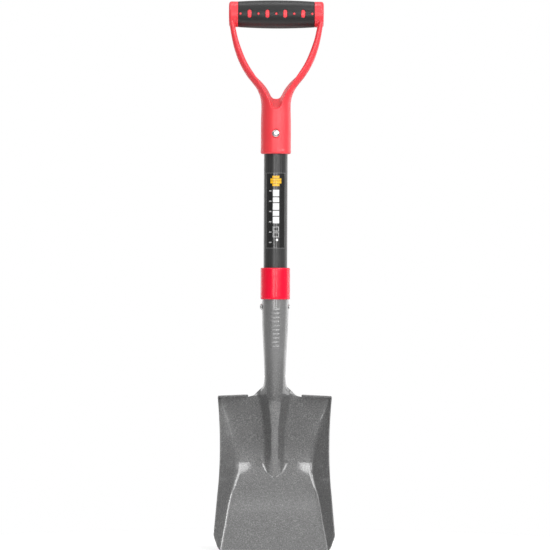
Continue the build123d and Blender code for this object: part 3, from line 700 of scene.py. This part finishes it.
TREAD_TOP_IN, TREAD_TOP_OUT = 198.0, 196.4       # tread's upper face, inner and outer end
TREAD_IN, TREAD_OUT, TREAD_FRONT = 34.0, 72.4, 9.3
JOIN_Z = 193.0                                   # the pan's rows are common up to here
COUNTS = (16, 8, 7, 10, 8, 4, 26, 22, 12)


def half_columns(z):
    """Columns of the right half at one height, gathered at the bends."""
    f, b, fold = float(CREST(z)), float(FOOT(z)), float(FOLD(z))
    k = min(1.0, (b - f) / 8.0)
    full = float(RIM(z))
    rim = float(EDGE(z)) if z < 22.5 else full
    q = min(1.0, (full - fold) / 8.0)
    x4 = b + 3 * k
    w0 = fold - 5.0
    w1 = min(fold + 5.5 * q, w0 + 0.66 * (rim - w0))
    m1, m2 = x4 + (w0 - x4) * MARK[0], x4 + (w0 - x4) * MARK[1]
    stops = [0.0, f - 2 * k, f + 2.2 * k, b - 3 * k, x4, m1, m2, w0, w1, rim]
    xs = [0.0]
    for a, c, n in zip(stops, stops[1:], COUNTS):
        xs += [a + (c - a) * (i + 1) / n for i in range(n)]
    return np.array(xs)


_b, _f = float(FOOT(JOIN_Z)), float(CREST(JOIN_Z))
_x4 = _b + 3 * min(1.0, (_b - _f) / 8.0)
_w0 = float(FOLD(JOIN_Z)) - 5.0
MARK = ((31.2 - _x4) / (_w0 - _x4), (TREAD_IN - _x4) / (_w0 - _x4))
N_MID = sum(COUNTS[:5])                          # column at x = 31.2
N_IN = sum(COUNTS[:6])                           # column at the tread's inner end


def stamped_bars(u, z):
    """Height of the plain ladder of short raised bars down the socket's front."""
    if not 256.0 < z < 308.0:
        return 0.0
    phase = (z - 256.0) % 5.2
    across = 1 / (1 + np.exp((np.abs(u - 0.5) - 4.4) / 0.28))
    along = 1 / (1 + math.exp((abs(phase - 2.6) - 1.25) / 0.2))
    return 0.38 * across * along


def blade_mesh():
    levels = np.concatenate([np.linspace(0.12, 22.5, 19), np.arange(23.9, 83.9, 1.4),
                             np.arange(84, 112, 0.8), np.arange(112, 192.2, 1.35), [JOIN_Z]])
    parts = []
    pan = np.array([[(x, float(y), z) for x, y in zip(half_columns(z), pan_y(half_columns(z), z))]
                    for z in levels])
    parts.append((pan.reshape(-1, 3), grid_faces(len(levels), pan.shape[1])))
    top = half_columns(JOIN_Z)
    # straight steps between the common rows and the bends
    steps = 3
    # strip between the neck's flank and the tread, a relief notch
    xs = top[N_MID:N_IN + 1]
    rise = np.interp(xs, [31.2, 32.6, TREAD_IN], [195.5, 195.2, 194.75]) - JOIN_Z
    strip = np.array([[(x, float(pan_y(x, JOIN_Z + h * k / steps)), JOIN_Z + h * k / steps)
                       for x, h in zip(xs, rise)] for k in range(steps + 1)])
    parts.append((strip.reshape(-1, 3), grid_faces(steps + 1, len(xs))))
    # treads: up, a tight bend, then forward
    xs = top[N_IN:]
    share = (xs - xs[0]) / (xs[-1] - xs[0])
    half, bend = SHEET / 2, 2.4
    zm = TREAD_TOP_IN + (TREAD_TOP_OUT - TREAD_TOP_IN) * share - half
    zm[0] = 194.75 + bend
    rows = []
    for k in range(steps + 1):
        z = JOIN_Z + (zm - bend - JOIN_Z) * k / steps
        rows.append(np.stack([xs, pan_y(xs, z), z], 1))
    y0 = rows[-1][:, 1]
    for k in range(1, 9):
        a = math.pi / 2 * k / 8
        rows.append(np.stack([xs, y0 - bend * (1 - math.cos(a)),
                              zm - bend * (1 - math.sin(a)) - 1.0 * k / 8], 1))
    start = y0 - bend
    for k in range(1, 13):
        t = 1 - (1 - k / 12) ** 1.3
        y = start + (TREAD_FRONT - start) * t
        u = np.clip(4.0 - (y - TREAD_FRONT), 0, 4.0)
        cut = 4.0 - np.sqrt(16.0 - u * u)
        a, b = xs[0] + cut, xs[-1] - cut
        rise = (start - y) / (start - TREAD_FRONT)
        rows.append(np.stack([a + (b - a) * share, y, zm + 1.0 * rise - 1.0], 1))
    tread = np.array(rows)
    parts.append((tread.reshape(-1, 3), grid_faces(len(rows), len(xs))))
    # neck and socket
    idx = np.arange(12.0)
    fine = np.linspace(0, 11, 1200)

    def flat_line(z):
        f, b = float(CREST(z)), float(FOOT(z))
        px = [0.0, 0.5 * f, f - 1.0, f + 0.4, f + 2.2, 0.5 * (f + b), b - 1.9, b + 0.2, b + 2.8,
              b + 6.0, max(29.5, b + 7.5), 33.0]
        return curve(list(zip(idx, px)))

    angles = curve(list(zip(idx, NECK_ANGLES)))

    def neck_point(q, z):
        zp = z if z < 194.0 else 194.0 + 4.0 * (1 - math.exp((194.0 - z) / 4.0))
        px = flat_line(zp)(q)
        py = pan_y(px, zp)
        s = float(WRAP(z))
        if s <= 0:
            return px, py
        r = float(NECK_R(z)) - half
        r = r + stamped_bars(np.radians(angles(q)) * r, z)
        end = 180.0 - math.degrees(math.asin(float(SEAM(z)) / (float(NECK_R(z)) - half)))
        a = np.radians(angles(q) * end / 168.0)
        x = (1 - s) * px + s * r * np.sin(a)
        y = (1 - s) * py + s * (AXIS_Y - r * np.cos(a))
        if 200 < z < 222:
            lim = float(SHOULDER(z)) if z < 216 else max(14.0 - (z - 216) * 0.3, r)
            over = np.maximum(0, x - (lim - 1.2))
            x = np.where(over > 0, lim - 1.2 + 1.2 * np.tanh(over / 1.2), x)
        return x, y

    base = flat_line(JOIN_Z)(fine)
    q0 = np.interp(top[:N_MID + 1], base, fine)
    reach = []
    for z in (196.0, 197.6, 199.3, 201.9, 204.4, 206.0):
        x, _ = neck_point(fine, z)
        lim = float(SHOULDER(z))
        over = np.nonzero(x >= lim - 0.05)[0]
        reach.append((z, fine[over[0]] if len(over) else 9.0))
    ends = [(JOIN_Z, q0[-1]), (195.5, q0[-1])] + reach + [(210, 8.0), (214.5, 9.5), (219, 10.6),
                                                          (224, 11.0), (351, 11.0)]
    for i in range(len(ends)):
        if i and 2 <= i < 8 and ends[i][1] > ends[i - 1][1]:
            ends[i] = (ends[i][0], ends[i - 1][1])
    q_end = curve(ends)
    levels = np.concatenate([JOIN_Z + 2.5 * np.arange(steps + 1) / steps, np.arange(196.0, 214.5, 0.6),
                             np.arange(215, 255, 1.6), np.arange(255.6, 308.6, 0.4),
                             np.arange(310, SOCKET_TOP, 2.0), [SOCKET_TOP]])
    rows = []
    for z in levels:
        q = q0 / q0[-1] * float(q_end(z))
        x, y = neck_point(q, z)
        x[0] = 0.0
        if z <= JOIN_Z + 1e-6:
            x = top[:N_MID + 1]
            y = pan_y(x, z)
        elif z <= 195.5 + 1e-6:
            x[-1] = top[N_MID]
            y[-1] = pan_y(x[-1], z)
        rows.append(np.stack([x, y, np.full_like(x, z)], 1))
    neck = np.array(rows)
    parts.append((neck.reshape(-1, 3), grid_faces(len(levels), neck.shape[1])))
    v, f = welded(parts)
    mirrored = v * np.array([-1, 1, 1])
    v, f = welded([(v, f), (mirrored, f[:, ::-1])])
    # the socket's low stamped ribs, a plain ladder of bars, are already in the neck rows through
    # stamped_bars
    return v, f


mid_v, mid_f = blade_mesh()
# every face looks to the front (or outwards on the socket)
a, b, c, d = (mid_v[mid_f[:, k]] for k in range(4))
if np.mean(np.cross(c - a, d - b)[:, 1]) > 0:
    mid_f = mid_f[:, ::-1]
bv, bf = thicken(mid_v, mid_f, SHEET / 2, 0.38)
# front of the socket, where its low stamped ribs run (a plain ladder of short bars, made by stamped_bars);
# this mask is not used
front = (bv[:, 1] < AXIS_Y - 5) & (bv[:, 2] > 250) & (bv[:, 2] < 312)
blade_ob = make_object("blade_pressing", bv, bf, [BLADE], nodes=("blade",))

# ------------------------------------------------------------- shaft and trim
inner = 11.0
shaft_profile = corner([(SHAFT_FOOT, inner), (SHAFT_FOOT, 14.3), (306.0, SHAFT_R),
                        (SHAFT_TOP, SHAFT_R), (SHAFT_TOP, inner)], [0.6, 0, 0.8])
body = [p for p in shaft_profile]
long_run = []
for p, q in zip(body, body[1:]):
    n = max(1, int(abs(q[0] - p[0]) / 8))
    long_run += [p + (q - p) * k / n for k in range(n)]
long_run.append(body[-1])
sv, sf = lathe(long_run, upright, 144, closed=True)
make_object("shaft_tube_body", sv, sf, [SHAFT], nodes=("shaft_tube",))

collar_profile = corner([(COLLAR_Z0 + 0.02, SOCKET_R + 0.08), (COLLAR_Z0 + 0.02, COLLAR_R),
                         (COLLAR_Z1, COLLAR_R), (COLLAR_Z1, SHAFT_R + 0.05),
                         (SOCKET_TOP + 0.3, SHAFT_R + 0.05), (SOCKET_TOP + 0.3, SOCKET_R + 0.05)],
                        [1.25, 1.25, 0.7, 0, ], 8)
run = []
for p, q in zip(collar_profile, collar_profile[1:]):
    n = max(1, int(abs(q[0] - p[0]) / 3))
    run += [p + (q - p) * k / n for k in range(n)]
run.append(collar_profile[-1])
cv, cf = lathe(run, upright, 144, closed=True)
make_object("ferrule_collar_body", cv, cf, [COLLAR], nodes=("ferrule_collar",))


def label_mesh():
    """Curved film with a thin frame and a few plain printed blocks."""
    r0, r1 = SHAFT_R + 0.005, SHAFT_R + 0.15
    half = math.radians(LABEL_HALF_ANGLE) * r1
    z0, z1 = LABEL_Z0, LABEL_Z1
    blocks = []          # (u0, u1, z0, z1, material)

    def ring(u0, u1, a0, a1, w, m):
        blocks.extend([(u0, u0 + w, a0, a1, m), (u1 - w, u1, a0, a1, m), (u0, u1, a0, a0 + w, m),
                       (u0, u1, a1 - w, a1, m)])
    ring(-half + 0.05, half - 0.05, z0 + 0.05, z1 - 0.05, 0.55, 1)
    # amber: three bars of falling width
    t = z1 - 3.8
    for w, h in ((4.6, 2.9), (7.2, 2.9), (7.2, 2.9), (4.6, 2.9)):
        blocks.append((-w + 0.3, w + 0.3, t - h, t, 4))
        t -= h + 0.5
    # white: a row of solid blocks
    t = z1 - 21.5
    for h in (8.4, 6.2, 8.4, 6.2, 8.4):
        blocks.append((-3.6, 4.6, t - h, t, 2))
        t -= h + 1.3
    # thin outlines below them
    t = z1 - 68.5
    for h in (6.0, 6.0):
        ring(-3.4, 4.4, t - h, t, 0.8, 3)
        t -= h + 1.4
    blocks.append((0.6, 3.4, t - 3.4, t - 0.6, 2))
    # short pale dashes along the left side
    for k in range(6):
        c = z1 - 23.0 - 13.1 * k
        blocks.append((-8.6, -5.4, c - 0.7, c + 0.7, 3))
    us = {-half, half}
    zs = {z0, z1}
    for u0, u1, a0, a1, _ in blocks:
        us |= {round(u0, 4), round(u1, 4)}
        zs |= {round(a0, 4), round(a1, 4)}

    def fill(values, most):
        values = sorted(values)
        out = [values[0]]
        for a, b in zip(values, values[1:]):
            if b - a < 1e-4:
                continue
            n = max(1, math.ceil((b - a) / most))
            out += [a + (b - a) * (i + 1) / n for i in range(n)]
        return np.array(out)
    us, zs = fill(us, 0.6), fill(zs, 3.0)
    nu, nz = len(us), len(zs)
    verts = []
    for r in (r1, r0):
        for z in zs:
            for u in us:
                q = u / r1
                verts.append((r * math.sin(q), AXIS_Y - r * math.cos(q), z))
    fo = grid_faces(nz, nu)
    faces = [fo, fo[:, ::-1] + nu * nz]
    cu, cz = (us[1:] + us[:-1]) / 2, (zs[1:] + zs[:-1]) / 2
    idx = np.zeros((nz - 1, nu - 1), int)
    for u0, u1, a0, a1, m in blocks:
        idx[np.ix_((cz > a0) & (cz < a1), (cu > u0) & (cu < u1))] = m
    index = [idx.reshape(-1), np.zeros(len(fo), int)]
    n = nu * nz
    border = [i for i in range(nu)] + [k * nu + nu - 1 for k in range(1, nz)] \
        + [(nz - 1) * nu + i for i in range(nu - 2, -1, -1)] + [k * nu for k in range(nz - 2, 0, -1)]
    ring_f = [[b, a, a + n, b + n] for a, b in zip(border, border[1:] + border[:1])]
    faces.append(np.array(ring_f))
    index.append(np.full(len(ring_f), 1))
    return np.array(verts), np.vstack(faces), np.concatenate(index)


lv, lf, li = label_mesh()
make_object("shaft_label_film", lv, lf, [FILM, FRAME_LINE, WHITE_INK, PALE_INK, AMBER_INK],
            nodes=("shaft_label",), index=li)


# --------------------------------------------------------------------- rivets
def rivet(name, node, place, left, right):
    """left and right are (seat, head radius, head height, dimple) for each end."""
    def dome(seat, r, h, dimple, sign):
        pts = [(sign * (seat + 0.0), r - 0.25), (sign * (seat + 0.25), r)]
        for k in range(1, 15):
            t = k / 14
            a = math.pi / 2 * t
            rr = r * math.cos(a) ** 0.92 if t < 1 else 0.0
            hh = 0.35 + (h - 0.35) * math.sin(a) ** 0.95
            if dimple and rr < r * 0.55:
                hh -= dimple * (1 - (rr / (r * 0.55)) ** 2) ** 2
            pts.append((sign * (seat + hh), rr))
        return pts
    l, r = dome(*left, -1), dome(*right, 1)
    shank = 2.45
    prof = list(reversed(l)) + [(-(left[0]), shank), (right[0], shank)] + r
    v, f = lathe(prof, place, 64)
    return make_object(name, v, f, [ZINC], nodes=(node,))


seat = SOCKET_R + 0.05
rivet("socket_rivet_steel", "socket_rivet",
      lambda a, r, q: (a, AXIS_Y + r * math.sin(q), RIVET_Z + r * math.cos(q)),
      (seat, 3.9, 2.8, 0.0), (seat, 3.05, 1.95, 0.25))
rivet("grip_rivet_steel", "grip_rivet",
      lambda a, r, q: (r * math.sin(q), AXIS_Y + a, GRIP_RIVET_Z + r * math.cos(q)),
      (SPOT_FACE, 4.8, 2.95, 0.35), (SPOT_FACE, 4.8, 2.95, 0.0))

# ----------------------------------------------------------------------- grip
OUTLINE = curve([(500, 19.1), (540, 19.15), (552, 18.95), (560, 18.7), (566, 18.7), (572, 19.2),
                 (576.4, 20.1), (580.3, 21.3), (584, 22.9), (588, 25.0), (591.7, 27.7),
                 (595.5, 30.7), (599.4, 33.9), (603.2, 36.8), (607, 39.3), (610.8, 41.7),
                 (618.5, 45.8), (626, 49.2), (633.8, 51.9), (641.4, 54.2), (649, 56.0),
                 (656.7, 57.5), (664, 58.7), (672, 59.6), (682, 60.05), (702, 60.1)])
DEPTH = curve([(500, 19.0), (566, 19.0), (580, 18.8), (600, 17.8), (620, 16.9), (640, 16.2),
               (656, 15.4), (668, 14.8), (682, 14.6), (702, 14.6)])
ROUND = curve([(500, 18.9), (560, 18.6), (572, 17.0), (584, 13.5), (600, 9.5), (620, 7.0),
               (645, 5.6), (665, 4.6), (682, 3.6), (702, 3.4)])
LOOP_BACK = [(0.0, 577.5), (3.6, 578.0), (6.4, 580.8), (9.2, 586.0), (13.0, 591.8), (20.0, 599.2),
             (28.6, 606.9), (36.0, 618.5), (41.4, 630.0), (45.7, 641.4), (49.3, 653.0),
             (51.8, 664.0), (54.2, 672.0), (56.0, 680.0), (56.4, 684.0)]
LOOP_FRONT = [(0.0, 559.8), (3.5, 560.6), (6.0, 563.6), (8.0, 569.0), (11.4, 577.4),
              (18.5, 590.0), (27.2, 604.6), (36.0, 618.5), (41.4, 630.0), (45.7, 641.4),
              (49.3, 653.0), (51.8, 664.0), (54.2, 672.0), (56.0, 680.0), (56.4, 684.0)]
OVALS = (-34.1, -11.3, 11.3, 34.1)
DOTS = (-45.6, -22.7, 0.0, 22.7, 45.6)
RIM_R = curve([(500, 1.1), (580, 1.2), (596, 1.5), (612, 2.6), (630, 3.4), (660, 3.6), (690, 3.6)])

# signed distance to the hand opening's outline, at a few depths
GX = np.arange(0, 64.01, 0.4)
GZ = np.arange(548, 704.01, 0.4)
DEPTHS = np.linspace(-8, 36, 12)


def loop_tables():
    out = []
    for y in DEPTHS:
        t = (y + 10.0) / 48.0
        pts = [((1 - t) * f[0] + t * b[0], (1 - t) * f[1] + t * b[1])
               for f, b in zip(LOOP_FRONT, LOOP_BACK)]
        full = [(-x, z) for x, z in reversed(pts[1:])] + pts
        line = smooth_line(full, 261)[130:]
        line[0, 0] = 0.0
        line = np.vstack([line, [[line[-1, 0], 706.0]]])
        gx, gz = np.meshgrid(GX, GZ, indexing="ij")
        p = np.stack([gx.ravel(), gz.ravel()], 1)
        best = np.full(len(p), 1e9)
        for a, b in zip(line, line[1:]):
            ab = b - a
            s = np.clip(((p - a) @ ab) / (ab @ ab), 0, 1)
            d = p - a - s[:, None] * ab
            best = np.minimum(best, np.einsum("ij,ij->i", d, d))
        # the outline's width grows with height, so inside is easy to tell
        z_of = line[:, 1]
        x_of = line[:, 0]
        order = np.argsort(z_of)
        width = np.interp(p[:, 1], z_of[order], x_of[order])
        inside = (p[:, 1] > z_of.min()) & (p[:, 0] < width)
        d = np.sqrt(best) * np.where(inside, -1, 1)
        out.append(d.reshape(gx.shape))
    return np.array(out, np.float32)


LOOP = loop_tables()


def loop_distance(ax, y, z):
    t = np.clip((y - DEPTHS[0]) / (DEPTHS[1] - DEPTHS[0]), 0, len(DEPTHS) - 1.001)
    u = np.clip(ax / 0.4, 0, len(GX) - 1.001)
    w = np.clip((z - GZ[0]) / 0.4, 0, len(GZ) - 1.001)
    i, j, k = t.astype(int), u.astype(int), w.astype(int)
    ft, fu, fw = t - i, u - j, w - k
    out = 0.0
    for di, wi in ((0, 1 - ft), (1, ft)):
        for dj, wj in ((0, 1 - fu), (1, fu)):
            for dk, wk in ((0, 1 - fw), (1, fw)):
                out = out + LOOP[i + di, j + dj, k + dk] * wi * wj * wk
    return out


TZ = np.arange(500, 704.01, 0.25)
T_W, T_D, T_R, T_E = OUTLINE(TZ), DEPTH(TZ), ROUND(TZ), RIM_R(TZ)
T_S = 1 / np.sqrt(1 + np.gradient(T_W, TZ) ** 2)


def barrel(x, rho):
    radius = SLEEVE_R_MID - (SLEEVE_R_MID - SLEEVE_R_END) * (x / SLEEVE_HALF) ** 2
    return rho - radius + 0.03


def windows(x, h, grow=0.0):
    """Distance in the front view to the nearest oval or dot; h is the height from the bar's axis."""
    d = None
    for c in OVALS:
        q = np.hypot(x - c, np.maximum(np.abs(h) - 2.55, 0)) - 2.55 - grow
        d = q if d is None else np.minimum(d, q)
    for c in DOTS:
        d = np.minimum(d, np.hypot(x - c, h) - 1.6 - grow)
    return d


def yoke_field(x, y, z):
    ax, v = np.abs(x), y - AXIS_Y
    w, dd, r, s = (np.interp(z, TZ, t) for t in (T_W, T_D, T_R, T_S))
    up = np.maximum(z - BAR_Z, 0)
    depth = np.sqrt(v * v + up * up)
    qx, qv = (ax - w) * s + r, depth - dd + r
    body_d = np.sqrt(np.maximum(qx, 0) ** 2 + np.maximum(qv, 0) ** 2) \
        + np.minimum(np.maximum(qx, qv), 0) - r
    rho_t = np.hypot(x, v)
    body_d = cut_round(body_d, YOKE_FOOT - z, 2.4)
    # rolled lip around the foot
    lip = cut_round(rho_t - 19.25, np.abs(z - (YOKE_FOOT + 2.9)) - 2.9, 2.2)
    body_d = join_round(body_d, lip, 0.5)
    opening = loop_distance(ax, y, z)
    body_d = cut_round(body_d, -opening, np.interp(z, TZ, T_E))
    rho = np.hypot(v, z - BAR_Z)
    # end of the crossbar: a full round that runs out to the outer face
    mid, half = (SLEEVE_HALF + BAR_END_X) / 2, (BAR_END_X - SLEEVE_HALF) / 2
    disc = cut_round(rho - BAR_END_R, np.abs(ax - mid) - half, 0.4)
    disc = np.maximum(disc, cut_round(rho - BAR_END_R, ax - BAR_END_X, 3.3))
    f = join_round(body_d, disc, 1.0)
    # bore for the shaft, and the rivet's flat seats
    f = np.maximum(f, -np.maximum(rho_t - (SHAFT_R + 0.05), z - (SHAFT_TOP + 0.1)))
    rr = np.hypot(x, z - GRIP_RIVET_Z)
    seat_d = np.maximum(rr - 5.4, SPOT_FACE - np.abs(v))
    return cut_round(f, -seat_d, 0.25)


def bar_field(x, y, z):
    """Core of the crossbar with the raised pads that fill the sleeve's windows."""
    v, h = y - AXIS_Y, z - BAR_Z
    rho = np.hypot(v, h)
    core = np.maximum(rho - BAR_CORE_R, np.abs(x) - SLEEVE_HALF - 1.2)
    pads = cut_round(np.maximum(windows(x, h, -0.02), 9.0 - np.abs(v)), barrel(x, rho) + 0.15, 0.35)
    return np.minimum(core, pads)


def sleeve_field(x, y, z):
    v, h = y - AXIS_Y, z - BAR_Z
    rho = np.hypot(v, h)
    f = cut_round(barrel(x, rho), np.abs(x) - SLEEVE_HALF + 0.03, 0.7)
    f = np.maximum(f, BAR_CORE_R + 0.05 - rho)
    hole = np.maximum(windows(x, h, 0.12), 6.0 - np.abs(v))
    return cut_round(f, -hole, 0.3)


step = 0.5
yv, yf = polygonise(yoke_field, (-62.0, AXIS_Y - 21.0, YOKE_FOOT - 1.5),
                    (62.0, AXIS_Y + 21.0, BAR_Z + 18.0), step)
yv = relax(yv, yf, 5)
pv, pf = polygonise(bar_field, (-51.5, AXIS_Y - 19.5, BAR_Z - 14.6),
                    (51.5, AXIS_Y + 19.5, BAR_Z + 14.6), 0.36)
pv = relax(pv, pf, 2)
make_object("grip_yoke_moulding", np.vstack([yv, pv]), np.vstack([yf, pf + len(yv)]), [RED],
            nodes=("grip_yoke",))
gv, gf = polygonise(sleeve_field, (-50.0, AXIS_Y - 19.5, BAR_Z - 19.5),
                    (50.0, AXIS_Y + 19.5, BAR_Z + 19.5), 0.42)
gv = relax(gv, gf, 2)
make_object("grip_sleeve_moulding", gv, gf, [RUBBER], nodes=("grip_sleeve",))


# ---------------------------------------------------------------------- stage
def floor_material():
    m, nt, bs = material("studio_floor")
    nt.nodes.remove(bs)
    out = [n for n in nt.nodes if n.type == "OUTPUT_MATERIAL"][0]
    v = coords(nt)
    n = noise(nt, v, 0.02, 2.0, 0.5)
    base = mix_color(nt, n, grey(236), grey(240))
    diff = put(nt, "ShaderNodeBsdfDiffuse", 0, Color=base)
    glow = put(nt, "ShaderNodeEmission", 0, Color=(1, 1, 1, 1), Strength=0.38)
    add = nt.nodes.new("ShaderNodeAddShader")
    link(nt, diff, add.inputs[0])
    link(nt, glow, add.inputs[1])
    link(nt, add.outputs[0], out.inputs["Surface"])
    return m


seg = 96
fv = [(0.0, AXIS_Y, -0.6)]
ff = []
for ring_r in (160.0, 320.0, 480.0):
    base = len(fv)
    fv += [(ring_r * math.cos(2 * math.pi * k / seg), AXIS_Y + ring_r * math.sin(2 * math.pi * k / seg),
            -0.6) for k in range(seg)]
    for k in range(seg):
        j = (k + 1) % seg
        if base == 1:
            ff.append([0, base + k, base + j])
        else:
            ff.append([base - seg + k, base + k, base + j, base - seg + j])
me = bpy.data.meshes.new("studio_floor")
me.from_pydata([tuple(c * MM for c in p) for p in fv], [], ff)
me.materials.append(floor_material())
floor = bpy.data.objects.new("studio_floor", me)
bpy.context.scene.collection.objects.link(floor)


def area(name, azimuth, elevation, distance, width, height, power, target=(0, AXIS_Y, 350), color=(1, 1, 1)):
    a, e = math.radians(azimuth), math.radians(elevation)
    t = Vector(target) * MM
    back = Vector((math.sin(a) * math.cos(e), -math.cos(a) * math.cos(e), math.sin(e)))
    light = bpy.data.lights.new(name, "AREA")
    light.shape = "RECTANGLE"
    light.size, light.size_y = width, height
    light.energy = power
    light.color = color
    ob = bpy.data.objects.new(name, light)
    ob.location = t + back * distance
    ob.rotation_mode = "QUATERNION"
    ob.rotation_quaternion = (-back).to_track_quat("-Z", "Y")
    bpy.context.scene.collection.objects.link(ob)
    return ob


def softbox(name, azimuth, elevation, distance, width, height, radiance, z=350):
    """A rectangular light of even brightness; power follows from its size."""
    return area(name, azimuth, elevation, distance, width, height,
                radiance * math.pi * width * height, (0, AXIS_Y, z))


softbox("strip_left", -18, 0, 2.6, 0.30, 0.78, 5.4, 700)
softbox("panel_right", 24, 0, 2.6, 1.5, 1.0, 1.1, 865)
softbox("lamp_low_right", 9, 10.6, 2.6, 0.34, 0.60, 6.8, 100)
softbox("key_mid", 27, 21, 2.4, 0.75, 0.30, 10.0, 50)
softbox("lamp_low_left", -9, 10.6, 2.6, 0.34, 0.60, 7.8, 100)
softbox("lamp_bar", 2, 16, 2.4, 0.9, 0.34, 2.2, 690)
softbox("key_high", 34, 50, 2.4, 1.2, 0.9, 3.6)
softbox("fill_high", -50, 50, 2.4, 1.1, 0.8, 2.3)
softbox("key_outer", 56, 27, 2.4, 0.95, 0.5, 12.0, 100)
softbox("top_back", 180, 84, 2.2, 1.6, 0.55, 3.6)
softbox("rim_left", -140, 0, 2.6, 0.62, 1.6, 2.0)
softbox("rim_far_left", -165, 0, 2.6, 0.62, 1.6, 0.4)
softbox("rim_side_left", -115, 0, 2.6, 0.62, 1.6, 0.35)
softbox("rim_side_right", 115, 0, 2.6, 0.62, 1.6, 1.5)
softbox("rim_right", 140, 0, 2.6, 0.62, 1.6, 2.2)

world = bpy.data.worlds.new("studio_world")
bpy.context.scene.world = world
world.use_nodes = True
wt = world.node_tree
wt.nodes.clear()
wo = wt.nodes.new("ShaderNodeOutputWorld")
tc = wt.nodes.new("ShaderNodeTexCoord")
sep = wt.nodes.new("ShaderNodeSeparateXYZ")
wt.links.new(tc.outputs["Generated"], sep.inputs[0])
ahead = remap(wt, sep.outputs[1], 0.25, -0.35, 0.0, 1.0)
level = remap(wt, math_node(wt, "ABSOLUTE", sep.outputs[2]), 0.12, 0.45, 1.0, 0.0)
band = math_node(wt, "MULTIPLY", ahead, level, clamp=True)
strength = remap(wt, band, 0.0, 1.0, 0.42, 0.13)
lit = put(wt, "ShaderNodeBackground", 0, Color=(1, 1, 1, 1), Strength=strength)
seen = put(wt, "ShaderNodeBackground", 0, Color=(1, 1, 1, 1), Strength=1.0)
path = wt.nodes.new("ShaderNodeLightPath")
mixer = wt.nodes.new("ShaderNodeMixShader")
wt.links.new(path.outputs["Is Camera Ray"], mixer.inputs[0])
wt.links.new(lit, mixer.inputs[1])
wt.links.new(seen, mixer.inputs[2])
wt.links.new(mixer.outputs[0], wo.inputs["Surface"])

view = bpy.context.scene.view_settings
view.view_transform = "Standard"
view.look = "None"
view.exposure = 0.0
view.gamma = 1.0

# --------------------------------------------------------------------- camera
DIST = 6.0
FRAME_MM = 700.6
cam_data = bpy.data.cameras.new("camera")
cam_data.sensor_width = 36.0
cam_data.lens = 36.0 * (DIST * 1000 + AXIS_Y) / FRAME_MM
cam_data.clip_start, cam_data.clip_end = 0.1, 60.0
cam = bpy.data.objects.new("camera", cam_data)
cam.location = (-0.4 * MM, -DIST, 350.1 * MM)
cam.rotation_mode = "QUATERNION"
roll = math.radians(0.23)
cam.rotation_quaternion = (Matrix.Rotation(math.radians(90), 3, "X")
                           @ Matrix.Rotation(roll, 3, "Z")).to_quaternion()
bpy.context.scene.collection.objects.link(cam)
bpy.context.scene.camera = cam

bpy.context.view_layer.update()
